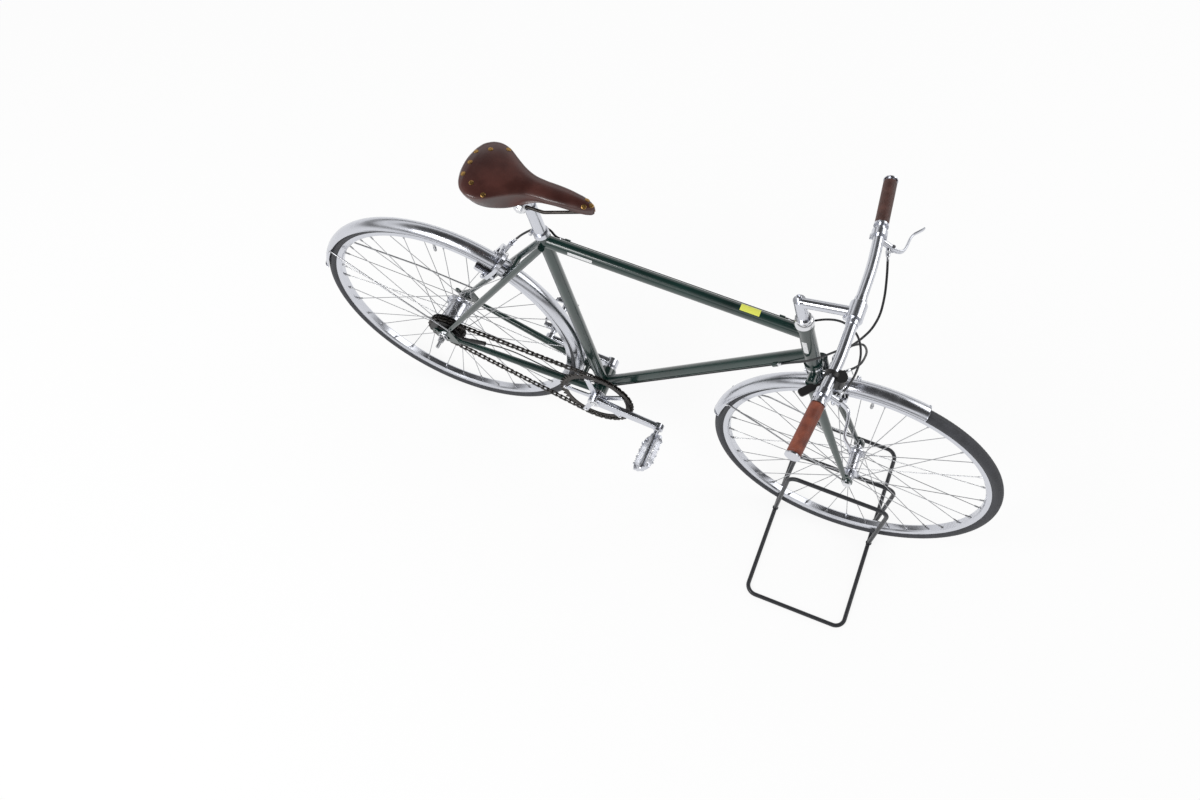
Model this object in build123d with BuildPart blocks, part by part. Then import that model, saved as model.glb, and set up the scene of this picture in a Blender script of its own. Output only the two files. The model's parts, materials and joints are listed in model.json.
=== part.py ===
from build123d import *
import os
from math import asin, atan2, ceil, cos, pi, radians, sin, tan

os.makedirs("parts", exist_ok=True)

# City bicycle standing in a wire floor stand that grips its front wheel.
# Millimetres. X points forward, Y to the rider's left, Z up, with the floor at Z = 0.
# The origin is on the floor, under the middle of the whole bicycle.

# ---------------------------------------------------------------- driving sizes
# Wheels: 28 mm tyres on 622 mm rims
wheelbase = 1030.0
wheel_radius = 340.5
tyre_width = 30.0
rim_edge_radius = 317.3
rim_depth = 14.0
rim_width = 20.4
rim_wall = 1.5
tyre_bed_depth = 6.3
bead_clearance = 0.1
spoke_radius = 0.95
spokes_per_side = 18
spoke_crossings = 3
seat_gap = 0.3

# Frame
bottom_bracket_ahead = 399.5
bottom_bracket_height = 281.5
bottom_bracket_radius = 20.0
bottom_bracket_width = 68.0
bottom_bracket_bore = 17.0
bearing_cup_width = 4.0
seat_angle = 73.7
seat_tube_length = 567.0
seat_tube_radius = 14.3
head_angle = 70.6
head_tube_length = 138.0
head_tube_radius = 17.0
head_ring_radius = 20.0
head_ring_height = 9.0
top_tube_radius = 14.0
top_tube_drop = 33.0
seat_lug_drop = 27.7
down_tube_radius = 14.3
down_tube_rise = 35.0
chainstay_half_gap = 26.0
stay_tip_across = 62.5
seatstay_radius = 8.0
dropout_thickness = 5.0
rear_hub_spacing = 120.0
bridge_radius = 6.0

# Fork and steering
fork_rake = 43.0
fork_length = 384.0
crown_forward = 3.0
headset_stack = 12.0
steerer_radius = 12.7
blade_across = 34.0
blade_top_half_width = 9.0
blade_top_half_depth = 12.5
blade_tip_radius = 5.5
front_hub_spacing = 100.0
stem_radius = 12.5
stem_rise = 70.0
stem_reach = 111.0
stem_slope = 15.7

# Handlebar
bar_radius = 11.1
bar_bulge = 1.6
bar_half_width = 331.0
bar_bend_across = 115.0
bar_sweep_back = 22.0
grip_length = 118.0
grip_radius = 14.5

# Brakes: the bolt's place above the axle, and the rubber blocks beside the rim
fork_bolt_up = 366.0
stay_bridge_up = 362.0
brake_bolt_radius = 3.0
fork_hub_radius = 16.5
pad_gap = 3.0
pad_radius = 309.5
pad_length = 52.0
pad_height = 11.0
pad_depth = 11.5
pad_ahead = 42.0
arm_start = 28.0
arm_depth = 9.0

# Saddle and seatpost
seatpost_radius = 13.6
saddle_rear = 78.0
saddle_nose = 358.0
saddle_height = 979.0
leather = 4.5

# Drivetrain
crank_length = 170.0
chain_line = 45.0
chain_pitch = 12.7
ring_teeth = 46
sprocket_teeth = 22
tooth_width = 3.0
chain_links = 98
link_half_height = 4.5
link_waist = 3.0
plate_gap = 2.0
plate_thickness = 1.2
pedal_gap = 16.0
pedal_width = 98.0
pedal_length = 66.0

# Fenders
fender_radius = 348.0
fender_half_width = 20.0
fender_drop = 14.0
fender_wall = 1.2
rear_fender_start = -11.0
rear_fender_end = 172.0
front_fender_start = 75.5
front_fender_end = 176.0

# Floor stand of bent rod
stand_rod = 5.25
stand_behind_axle = 123.0
stand_ahead_of_axle = 130.0
stand_right = -274.0
stand_left = 248.0
stand_hoop_across = 32.0
stand_hoop_height = 212.0
stand_bend = 25.0

# Cables
housing_radius = 2.5
wire_radius = 1.5
stop_radius = 4.5
stop_length = 12.0
stop_aside = 17.0
top_stop_front = 771.0
top_stop_rear = 300.0
down_stop_up = 541.0
adjuster_up = 54.0
adjuster_aside = 24.0
front_lean = 20.0

# ---------------------------------------------------------------- places worked out
# The origin is halfway between the rear fender's end and the front tyre's front.
fender_reach = fender_radius * -cos(radians(rear_fender_end))
rear_axle_x = -(wheelbase + wheel_radius - fender_reach) / 2

stand_back = wheelbase - stand_behind_axle
stand_front = wheelbase + stand_ahead_of_axle
bar_clamp_radius = bar_radius + bar_bulge
across = Vector(0, 1, 0)


def spot(ahead, aside, height):
    """Point measured forward from the rear axle, left from the middle plane, up from the floor."""
    return Vector(rear_axle_x + ahead, aside, height)


rear_axle = spot(0, 0, wheel_radius)
front_axle = spot(wheelbase, 0, wheel_radius)
bottom_bracket = spot(bottom_bracket_ahead, 0, bottom_bracket_height)

seat_up = Vector(-cos(radians(seat_angle)), 0, sin(radians(seat_angle)))
seat_tube_top = bottom_bracket + seat_up * seat_tube_length

head_up = Vector(-cos(radians(head_angle)), 0, sin(radians(head_angle)))
head_forward = Vector(sin(radians(head_angle)), 0, cos(radians(head_angle)))
steering_foot = front_axle - head_forward * fork_rake


def on_steering(up, forward=0, aside=0):
    """Point measured along the steering axis from the front axle's foot on it."""
    return steering_foot + head_up * up + head_forward * forward + across * aside


head_tube_low = fork_length + headset_stack
head_tube_high = head_tube_low + head_tube_length
top_tube_front = on_steering(head_tube_high - top_tube_drop)
top_tube_rear = seat_tube_top - seat_up * seat_lug_drop
down_tube_front = on_steering(head_tube_low + down_tube_rise)


def rod(start, end, radius, mode=Mode.ADD):
    """Straight round bar between two points."""
    line = end - start
    with BuildSketch(Plane(origin=start, z_dir=line)) as section:
        Circle(radius)
    extrude(section.sketch, amount=line.length, mode=mode)


def wire_rod(points, radii, radius):
    """Bent round rod: straight runs joined by tangent arcs."""
    with BuildLine() as path:
        FilletPolyline(*points, radius=radii)
    with BuildSketch(Plane(origin=path.line @ 0, z_dir=path.line % 0)) as section:
        Circle(radius)
    sweep(section.sketch, path=path.line)


def cord(points, radius):
    """Bent cable through points: each arc takes nearly half of the shorter run beside it."""
    radii = []
    for before, here, after in zip(points, points[1:], points[2:]):
        shorter = min((here - before).length, (after - here).length)
        turn = radians((here - before).get_angle(after - here))
        radii.append(0.45 * shorter / tan(turn / 2))
    with BuildLine() as path:
        FilletPolyline(*points, radius=radii)
    with BuildSketch(Plane(origin=path.line @ 0, z_dir=path.line % 0)) as section:
        Circle(radius)
    sweep(section.sketch, path=path.line)


def turned(center, outline, axis=across):
    """Round piece about the wheel axis from an outline of (radius, across) points."""
    with BuildSketch(Plane(origin=center)) as section:
        with BuildLine():
            Polyline(*outline, close=True)
        make_face()
    revolve(section.sketch, axis=Axis(center, axis))


def both_ways(half_outline):
    """Closed outline from its left half, mirrored across the middle plane."""
    return half_outline + [(radius, -aside) for radius, aside in reversed(half_outline)]


def save(part, name):
    part.label = name
    export_step(part, f"parts/{name}.step")


# ---------------------------------------------------------------- main frame
with BuildPart() as main_frame:
    rod(bottom_bracket, seat_tube_top, seat_tube_radius)
    rod(top_tube_rear, top_tube_front, top_tube_radius)
    rod(bottom_bracket, down_tube_front, down_tube_radius)
    rod(on_steering(head_tube_low), on_steering(head_tube_high), head_tube_radius)
    rod(on_steering(head_tube_low), on_steering(head_tube_low + head_ring_height), head_ring_radius)
    rod(on_steering(head_tube_high - head_ring_height), on_steering(head_tube_high), head_ring_radius - 1)
    half_shell = across * (bottom_bracket_width / 2)
    rod(bottom_bracket - half_shell, bottom_bracket + half_shell, bottom_bracket_radius)
    # Cable stops: two on the top tube's left, one on the down tube's right
    for ahead in (top_stop_front, top_stop_rear):
        stop = spot(ahead, stop_aside, top_tube_front.Z)
        rod(stop, stop - Vector(stop_length, 0, 0), stop_radius)
    down_tube_line = (down_tube_front - bottom_bracket).normalized()
    down_stop = bottom_bracket + down_tube_line * down_stop_up - across * stop_aside
    rod(down_stop, down_stop + down_tube_line * stop_length, stop_radius)
    # Bores for the steerer, the seatpost and the crank bearings
    steerer_bore = steerer_radius + 1.5
    rod(on_steering(head_tube_low - 1), on_steering(head_tube_high + 1), steerer_bore, Mode.SUBTRACT)
    seatpost_depth = 120.0
    seatpost_foot = seat_tube_top - seat_up * seatpost_depth
    rod(seatpost_foot, seat_tube_top + seat_up, seatpost_radius + 0.05, Mode.SUBTRACT)
    rod(bottom_bracket - half_shell * 1.1, bottom_bracket + half_shell * 1.1, bottom_bracket_bore, Mode.SUBTRACT)
save(main_frame.part, "main_frame")

# ---------------------------------------------------------------- rear stays
# The seatstay line runs from the seat lug to the rear axle.
seatstay_top = top_tube_rear + Vector(0, 0, -6)
stay_up = (Vector(seatstay_top.X, 0, seatstay_top.Z) - rear_axle).normalized()
stay_back = Vector(-stay_up.Z, 0, stay_up.X)
seatstay_length = (Vector(seatstay_top.X, 0, seatstay_top.Z) - rear_axle).length
seatstay_top_across = seat_tube_radius + seatstay_radius * 0.4
chainstay_root = bottom_bracket + Vector(-12, 0, 1)
chainstay_line = (rear_axle - chainstay_root).normalized()
chainstay_length = (rear_axle - chainstay_root).length
chainstay_bridge_back = 38.0


def seatstay_across(up):
    """How far out the seatstay is at a distance above the axle."""
    share = up / seatstay_length
    return stay_tip_across + (seatstay_top_across - stay_tip_across) * share


def chainstay_across(back):
    """How far out the chainstay is at a distance behind its root."""
    return chainstay_half_gap + (stay_tip_across - chainstay_half_gap) * back / chainstay_length


def stay_sections(start, end, sections):
    """Tapered tube along a line through rounds given as (share of the length, radius)."""
    line = end - start
    faces = []
    for share, radius in sections:
        with BuildSketch(Plane(origin=start + line * share, x_dir=across, z_dir=line)) as section:
            Circle(radius)
        faces.append(section.sketch)
    loft(faces, ruled=True)


def dropout(side):
    """Plate that carries the axle, with a slot for it and an eyelet behind for a stay or rack."""
    inner = rear_axle + across * side * rear_hub_spacing / 2
    with BuildSketch(Plane(origin=inner, x_dir=(1, 0, 0), z_dir=(0, -1, 0))) as plate:
        Circle(17)
        with BuildLine():
            Polyline((-8, 14), (12, 34), (24, 26), (40, 0), (42, -14), (4, -17), close=True)
        make_face()
        with Locations((-20, 12)):
            Circle(7)
            Circle(2.6, mode=Mode.SUBTRACT)
        with Locations((6, 0)):
            SlotOverall(24, 10.4, mode=Mode.SUBTRACT)
    extrude(plate.sketch, amount=-side * dropout_thickness)


with BuildPart() as rear_stays:
    for side in (1, -1):
        foot = rear_axle + across * side * stay_tip_across
        chainstay_start = chainstay_root + across * side * chainstay_half_gap
        stay_sections(chainstay_start, foot + (chainstay_start - foot) * 0.08,
                      [(0, 9.5), (0.4, 9.0), (0.75, 7.8), (1, 5.5)])
        seatstay_start = seatstay_top + across * side * seatstay_top_across
        stay_sections(foot + (seatstay_start - foot) * 0.055, seatstay_start,
                      [(0, 5.2), (0.3, seatstay_radius), (1, seatstay_radius)])
        dropout(side)
    bridge_middle = rear_axle + stay_up * stay_bridge_up
    bridge_half = across * seatstay_across(stay_bridge_up)
    rod(bridge_middle - bridge_half, bridge_middle + bridge_half, bridge_radius)
    low_middle = chainstay_root + chainstay_line * chainstay_bridge_back
    low_half = across * chainstay_across(chainstay_bridge_back)
    rod(low_middle - low_half, low_middle + low_half, bridge_radius)
    bridge_bolt = stay_back * (bridge_radius + 2)
    rod(bridge_middle - bridge_bolt, bridge_middle + bridge_bolt, brake_bolt_radius + 0.05, Mode.SUBTRACT)
    # Caps that close the stays' tops are trimmed where they meet the seat tube and the bracket
    rod(bottom_bracket, seat_tube_top, seat_tube_radius, Mode.SUBTRACT)
    shell_and_cups = across * (bottom_bracket_width / 2 + bearing_cup_width + seat_gap)
    rod(bottom_bracket - shell_and_cups, bottom_bracket + shell_and_cups, bottom_bracket_radius, Mode.SUBTRACT)
save(rear_stays.part, "rear_stays")

# ---------------------------------------------------------------- headset and bottom bracket
with BuildPart() as headset_cups:
    cup_radius = head_ring_radius - 1.0
    for low, high in ((head_tube_low - 7, head_tube_low), (head_tube_high, head_tube_high + 3)):
        rod(on_steering(low), on_steering(high), cup_radius)
        rod(on_steering(low - 1), on_steering(high + 1), steerer_bore, Mode.SUBTRACT)
save(headset_cups.part, "headset_cups")

spindle_radius = 8.0
with BuildPart() as bearing_cups:
    for side in (1, -1):
        face = bottom_bracket + across * side * bottom_bracket_width / 2
        rod(face - across * side * 14, face, bottom_bracket_bore)
        rod(face, face + across * side * bearing_cup_width, bottom_bracket_radius - 1)
        rod(face - across * side * 15, face + across * side * 5, spindle_radius + 0.5, Mode.SUBTRACT)
save(bearing_cups.part, "bearing_cups")

# ---------------------------------------------------------------- seat clamp, seatpost and saddle
with BuildPart() as seat_clamp:
    collar_low = seat_tube_top - seat_up * 9
    rod(collar_low, seat_tube_top + seat_up * 2, seat_tube_radius + 3)
    bolt_line = Vector(seat_tube_top.X - 18, 0, seat_tube_top.Z - 4)
    rod(bolt_line - across * 10, bolt_line + across * 10, 3.5)
    rod(collar_low - seat_up, seat_tube_top, seat_tube_radius, Mode.SUBTRACT)
    rod(collar_low, seat_tube_top + seat_up * 3, seatpost_radius + 0.1, Mode.SUBTRACT)
save(seat_clamp.part, "seat_clamp")

rail_height = 928.0
rail_across = 22.0
rail_radius = 3.5
seatpost_top = bottom_bracket + seat_up * ((rail_height - bottom_bracket.Z) / seat_up.Z)
rail_points = [
    spot(saddle_rear + 19, 1.5 * rail_across, saddle_height - 28),
    spot(saddle_rear + 60, 1.1 * rail_across, rail_height),
    spot(saddle_nose - 100, rail_across, rail_height),
    spot(saddle_nose - 18, 6, saddle_height - 26),
]


def mirrored(point):
    """The same point on the other side of the middle plane."""
    return Vector(point.X, -point.Y, point.Z)


with BuildPart() as seatpost:
    rod(seatpost_foot + seat_up, seatpost_top - seat_up * 26, seatpost_radius)
    rod(seatpost_top - seat_up * 26, seatpost_top, seatpost_radius - 3)
    rod(seatpost_top - across * 30, seatpost_top + across * 30, 11)
    for flip in (1, -1):
        grooves = [point if flip == 1 else mirrored(point) for point in rail_points[1:3]]
        rod(grooves[0], grooves[1], rail_radius + 0.1, Mode.SUBTRACT)
save(seatpost.part, "seatpost")

with BuildPart() as saddle_frame:
    wire_rod(rail_points, 25, rail_radius)
    wire_rod([mirrored(point) for point in rail_points], 25, rail_radius)
    cantle = [spot(saddle_rear + 38, -58, 958), spot(saddle_rear + 18, -36, 958),
              spot(saddle_rear + 18, 36, 958), spot(saddle_rear + 38, 58, 958)]
    wire_rod(cantle, 30, 4.5)
    nose_end = spot(saddle_nose - 18, 0, saddle_height - 26)
    rod(nose_end - across * 9, nose_end + across * 9, 4)
save(saddle_frame.part, "saddle_frame")

# Each station: ahead, half width at the shoulder and at the skirt, height of the crown and the skirt
saddle_stations = [
    (80, 26, 20, 971, 958),
    (84, 40, 32, 974, 954),
    (92, 55, 44, 976, 951),
    (105, 67, 55, 978, 949),
    (125, 73, 65, 979, 946),
    (148, 68, 63, 979, 940),
    (174, 51, 52, 979, 934),
    (196, 37, 44, 979, 938),
    (220, 27, 36, 979, 951),
    (245, 23.5, 28, 978, 961),
    (274, 22.5, 24, 978, 963),
    (310, 19.5, 21, 977, 962),
    (335, 15.5, 17, 975, 958),
    (349, 10, 11, 972, 955),
    (356, 4.5, 5.5, 969, 954),
]


def saddle_body(wall, deeper):
    """Saddle's form, or its hollow when it is a wall thinner and deeper below."""
    faces = []
    for ahead, shoulder, skirt, crown, hem in saddle_stations:
        middle = (saddle_rear + saddle_nose) / 2
        inset = wall * (1 if ahead < middle else -1) if ahead in (80, 356) else 0
        wide = max(shoulder - wall, 1.5)
        low_wide = max(skirt - wall, 2)
        with BuildSketch(Plane(origin=spot(ahead + inset, 0, 0), x_dir=across, z_dir=(1, 0, 0))) as section:
            with BuildLine():
                Spline((-low_wide, hem - deeper), (-wide, crown - wall - 9), (0, crown - wall),
                       (wide, crown - wall - 9), (low_wide, hem - deeper))
                Line((-low_wide, hem - deeper), (low_wide, hem - deeper))
            make_face()
        faces.append(section.sketch)
    loft(faces)


with BuildPart() as saddle_hollow:
    saddle_body(leather, 6)
with BuildPart() as saddle_leather:
    saddle_body(0, 0)
    add(saddle_hollow.part, mode=Mode.SUBTRACT)
save(saddle_leather.part, "saddle_leather")

# ---------------------------------------------------------------- wheels
tyre_round = tyre_width / 2
tyre_round_radius = wheel_radius - tyre_round
rim_bed_radius = rim_edge_radius - tyre_bed_depth
rim_inner_radius = rim_edge_radius - rim_depth
rim_half = rim_width / 2
bead_half = rim_half - rim_wall - bead_clearance


def tyre(center):
    """Tyre whose sides round in to the rim's edge and whose beads sit between its flanges."""
    edge = rim_edge_radius + seat_gap
    shoulder = rim_half - 0.2
    with BuildSketch(Plane(origin=center)) as section:
        with BuildLine():
            ThreePointArc((tyre_round_radius, tyre_round), (wheel_radius, 0), (tyre_round_radius, -tyre_round))
            TangentArc((tyre_round_radius, -tyre_round), (edge, -shoulder), tangent=(-1, 0))
            Polyline((edge, -shoulder), (edge, -bead_half), (rim_bed_radius, -bead_half),
                     (rim_bed_radius, bead_half), (edge, bead_half), (edge, shoulder))
            TangentArc((tyre_round_radius, tyre_round), (edge, shoulder), tangent=(-1, 0))
        make_face()
    revolve(section.sketch, axis=Axis(center, across))


def rim(center):
    """Box rim with two flanges for the tyre's beads."""
    flange = rim_half - rim_wall
    turned(center, both_ways([
        (rim_bed_radius, flange), (rim_edge_radius, flange), (rim_edge_radius, rim_half),
        (rim_inner_radius + 3, rim_half), (rim_inner_radius, rim_half - 3.5)]))


def spokes(center, hole_radius, flanges, flange_width):
    """Crossed spokes: every second one lies outside its flange and leans the other way."""
    step = 360 / spokes_per_side
    for flange_at, first in ((flanges[0], 0.0), (flanges[1], step / 2)):
        side = 1 if flange_at > 0 else -1
        for number in range(spokes_per_side):
            outside = number % 2
            lean = step * spoke_crossings * (1 if outside else -1)
            hub_angle = radians(first + step * number)
            rim_angle = radians(first + step * number + lean)
            hub_aside = flange_at + side * (flange_width / 2 + spoke_radius) * (1 if outside else -1)
            hub_aside += side * (0.9 if outside else -seat_gap)
            rim_aside = side * (3.2 if outside else 1.4)
            end_radius = rim_inner_radius - seat_gap
            rod(center + Vector(hole_radius * cos(hub_angle), hub_aside, hole_radius * sin(hub_angle)),
                center + Vector(end_radius * cos(rim_angle), rim_aside, end_radius * sin(rim_angle)),
                spoke_radius)


front_flange_across = 28.0
flange_width = 3.0
front_axle_radius = 4.5
front_locknut_start = 43.3
with BuildPart() as front_tyre:
    tyre(front_axle)
save(front_tyre.part, "front_tyre")
with BuildPart() as front_rim:
    rim(front_axle)
save(front_rim.part, "front_rim")
with BuildPart() as front_spokes:
    spokes(front_axle, 19.0, (front_flange_across, -front_flange_across), flange_width)
save(front_spokes.part, "front_spokes")
with BuildPart() as front_hub:
    flange_in = front_flange_across - flange_width / 2
    flange_out = front_flange_across + flange_width / 2
    bore = front_axle_radius + 0.5
    turned(front_axle, both_ways([
        (bore, 43.0), (10, 43.0), (11, flange_out), (22, flange_out), (22, flange_in),
        (15, flange_in), (13, flange_in - 3)]))
save(front_hub.part, "front_hub")

rear_flange_left = 33.0
rear_flange_right = -27.0
rear_axle_radius = 5.0
driver_radius = 17.0
with BuildPart() as rear_tyre:
    tyre(rear_axle)
save(rear_tyre.part, "rear_tyre")
with BuildPart() as rear_rim:
    rim(rear_axle)
save(rear_rim.part, "rear_rim")
with BuildPart() as rear_spokes:
    spokes(rear_axle, 33.0, (rear_flange_left, rear_flange_right), flange_width)
save(rear_spokes.part, "rear_spokes")
with BuildPart() as rear_hub:
    turned(rear_axle, [
        (rear_axle_radius + 0.6, 46), (14, 46), (18, 38), (24, 34.5), (36, 34.5), (36, 31.5), (31, 31.5),
        (28, 29), (28, -24), (31, -25.5), (36, -25.5), (36, -28.5), (26, -31), (24, -39), (driver_radius, -40),
        (driver_radius, -48), (rear_axle_radius + 0.6, -48)])
save(rear_hub.part, "rear_hub")


# ---------------------------------------------------------------- fenders
def fender(center, start_angle, end_angle):
    """Curved guard of thin metal round a stretch of the tyre."""
    start = radians(start_angle)
    edge = fender_radius - fender_drop
    inner_edge = fender_half_width - fender_wall
    inner_crown = fender_radius - fender_wall
    with BuildSketch(Plane(origin=center, x_dir=(cos(start), 0, sin(start)),
                           z_dir=(-sin(start), 0, cos(start)))) as section:
        with BuildLine():
            ThreePointArc((edge, fender_half_width), (fender_radius, 0), (edge, -fender_half_width))
            Line((edge, -fender_half_width), (edge, -inner_edge))
            ThreePointArc((edge, -inner_edge), (inner_crown, 0), (edge, inner_edge))
            Line((edge, inner_edge), (edge, fender_half_width))
        make_face()
    revolve(section.sketch, axis=Axis(center, -across), revolution_arc=end_angle - start_angle)


with BuildPart() as rear_fender:
    fender(rear_axle, rear_fender_start, rear_fender_end)
save(rear_fender.part, "rear_fender")
with BuildPart() as front_fender:
    fender(front_axle, front_fender_start, front_fender_end)
    # Tab behind the fork's crown, hung on the brake's bolt
    tab_face = Plane(origin=on_steering(fork_bolt_up, -fork_hub_radius - seat_gap), x_dir=across, z_dir=-head_forward)
    with BuildSketch(tab_face) as tab:
        with BuildLine():
            Polyline((-7, 6), (7, 6), (7, -17.2), (-7, -17.2), close=True)
        make_face()
        Circle(brake_bolt_radius + 0.1, mode=Mode.SUBTRACT)
    extrude(tab.sketch, amount=2)
save(front_fender.part, "front_fender")

fender_stay_radius = 2.0
stay_aside = fender_half_width + fender_stay_radius + seat_gap


def fender_edge(center, angle, side):
    """Where a stay's end lies against the fender's edge, at an angle round the wheel."""
    reach = fender_radius - fender_drop + 1.5
    turn = radians(angle)
    return center + Vector(reach * cos(turn), side * stay_aside, reach * sin(turn))


with BuildPart() as rear_fender_stays:
    for side in (1, -1):
        wire_rod([fender_edge(rear_axle, 157, side), spot(-114, side * 52, 422),
                  spot(24, side * 67.5, 380)], 120, fender_stay_radius)
save(rear_fender_stays.part, "rear_fender_stays")

# ---------------------------------------------------------------- axles
with BuildPart() as front_axle_pin:
    nut = front_hub_spacing / 2 + dropout_thickness
    rod(front_axle - across * 62, front_axle + across * 62, front_axle_radius)
    for side in (1, -1):
        out = across * side
        rod(front_axle + out * front_locknut_start, front_axle + out * front_hub_spacing / 2, 8)
        rod(front_axle + out * nut, front_axle + out * (nut + 6), 8.5)
save(front_axle_pin.part, "front_axle_pin")

with BuildPart() as rear_axle_pin:
    nut = rear_hub_spacing / 2 + dropout_thickness
    rod(rear_axle - across * 73, rear_axle + across * 73, rear_axle_radius)
    for side, locknut in ((1, 46.4), (-1, 48.4)):
        out = across * side
        rod(rear_axle + out * locknut, rear_axle + out * rear_hub_spacing / 2, 9)
        rod(rear_axle + out * nut, rear_axle + out * (nut + 6), 9.5)
    rod(rear_axle - across * (nut + 6), rear_axle - across * (nut + 17), 7.5)
    rod(rear_axle - across * (nut + 17), rear_axle - across * 100, 4.5)
save(rear_axle_pin.part, "rear_axle_pin")

# Round unit between the sprocket and the dropout, with an arm forward to the cable's adjuster
adjuster_low = spot(50, -58, 349)
adjuster_high = spot(112, -60, 371)
with BuildPart() as hub_shift_unit:
    with BuildSketch(Plane(origin=rear_axle - across * 54, x_dir=(1, 0, 0), z_dir=(0, -1, 0))) as unit:
        Circle(24)
        with BuildLine():
            Polyline((6, 20), (30, 15), (52, 13), (52, 5), (36, 5), (23, 3), close=True)
        make_face()
        Circle(9.3, mode=Mode.SUBTRACT)
    extrude(unit.sketch, amount=5.7)
    adjuster_line = (adjuster_high - adjuster_low).normalized()
    rod(adjuster_low, adjuster_low + adjuster_line * 24, 4.2)
    rod(adjuster_low + adjuster_line * 24, adjuster_high, 5.2)
save(hub_shift_unit.part, "hub_shift_unit")


# ---------------------------------------------------------------- fork
crown_radius = 12.0
crown_low = 340.0


def blade(side):
    """Straight fork blade: oval at the crown, tapered to round at the axle, set forward for the rake."""
    top = on_steering(crown_low, crown_forward, side * blade_across)
    tip = on_steering(18, fork_rake - 4, side * (front_hub_spacing / 2 + dropout_thickness / 2))
    line = tip - top
    faces = []
    for share, narrower in ((0.0, 0.0), (0.35, 0.15), (1.0, 1.0)):
        half_width = blade_top_half_width + (blade_tip_radius - blade_top_half_width) * narrower
        half_depth = blade_top_half_depth + (blade_tip_radius - blade_top_half_depth) * narrower
        with BuildSketch(Plane(origin=top + line * share, x_dir=across, z_dir=line)) as section:
            Ellipse(half_width, half_depth)
        faces.append(section.sketch)
    loft(faces, ruled=True)


def fork_tip(side):
    """Plate with a slot that opens downwards for the front axle."""
    inner = front_axle + across * side * front_hub_spacing / 2
    with BuildSketch(Plane(origin=inner, x_dir=(1, 0, 0), z_dir=(0, -1, 0))) as plate:
        Circle(13)
        with BuildLine():
            Polyline((-12, 2), (-17, 22), (-4, 28), (10, 8), close=True)
        make_face()
        with Locations((0, -10)):
            Rectangle(9.2, 20, mode=Mode.SUBTRACT)
        Circle(4.6, mode=Mode.SUBTRACT)
    extrude(plate.sketch, amount=-side * dropout_thickness)


quill_depth = 60.0
quill_radius = 11.1
steerer_top = head_tube_high + 8
with BuildPart() as fork:
    rod(on_steering(fork_bolt_up - 12), on_steering(steerer_top), steerer_radius)
    rod(on_steering(fork_bolt_up - 13), on_steering(fork_length), fork_hub_radius)
    rod(on_steering(fork_bolt_up, 0, -blade_across), on_steering(fork_bolt_up, 0, blade_across), crown_radius)
    for side in (1, -1):
        blade(side)
        shoulder = on_steering(fork_bolt_up + 8, crown_forward, side * blade_across)
        with BuildSketch(Plane(origin=shoulder, x_dir=across, z_dir=-head_up)) as socket:
            Ellipse(blade_top_half_width + 1.5, blade_top_half_depth + 1.5)
        extrude(socket.sketch, amount=fork_bolt_up + 8 - crown_low)
        fork_tip(side)
    rod(on_steering(steerer_top - quill_depth), on_steering(steerer_top + 1), quill_radius + 0.05, Mode.SUBTRACT)
    rod(on_steering(fork_bolt_up, -30), on_steering(fork_bolt_up, 30), brake_bolt_radius + 0.05, Mode.SUBTRACT)
save(fork.part, "fork")

with BuildPart() as headset_top:
    bell_low = head_tube_high + 3 + seat_gap
    with BuildSketch(Plane(origin=on_steering(bell_low), x_dir=head_forward, z_dir=-across)) as bell:
        with BuildLine():
            Polyline((steerer_radius + 0.1, 0), (21, 0), (21, 5))
            ThreePointArc((21, 5), (18.5, 12), (14, 16))
            Polyline((14, 16), (steerer_radius + 0.1, 16), (steerer_radius + 0.1, 0))
        make_face()
    revolve(bell.sketch, axis=Axis(on_steering(bell_low), head_up))
save(headset_top.part, "headset_top")

# ---------------------------------------------------------------- stem and handlebar
stem_corner = on_steering(head_tube_high + stem_rise)
stem_line = Vector(cos(radians(stem_slope)), 0, sin(radians(stem_slope)))
bar_middle = stem_corner + stem_line * stem_reach
stem_clamp_half = 19.0
with BuildPart() as stem:
    rod(on_steering(steerer_top - quill_depth + 1), stem_corner, quill_radius)
    rod(on_steering(bell_low + 16 + seat_gap), stem_corner + head_up * 8, stem_radius)
    rod(stem_corner + head_up * 8, stem_corner + head_up * 15, 6)
    rod(stem_corner, bar_middle, 10.5)
    rod(bar_middle - across * stem_clamp_half, bar_middle + across * stem_clamp_half, bar_clamp_radius + 4.5)
    rod(bar_middle - across * 25, bar_middle + across * 25, bar_clamp_radius + 0.02, Mode.SUBTRACT)
save(stem.part, "stem")

bar_bends = [bar_middle + across * side * bar_bend_across for side in (-1, 1)]
bar_ends = [bar_middle + Vector(-bar_sweep_back, side * bar_half_width, -2) for side in (-1, 1)]


def on_bar(side, aside):
    """Point on the handlebar's straight outer stretch, at a distance to one side."""
    bend = bar_bends[0 if side < 0 else 1]
    end = bar_ends[0 if side < 0 else 1]
    share = (aside - bar_bend_across) / (bar_half_width - bar_bend_across)
    return bend + (end - bend) * share


with BuildPart() as handlebar:
    wire_rod([bar_ends[0], bar_bends[0], bar_bends[1], bar_ends[1]], 700, bar_radius)
    rod(bar_middle - across * 32, bar_middle + across * 32, bar_clamp_radius)
save(handlebar.part, "handlebar")

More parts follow.
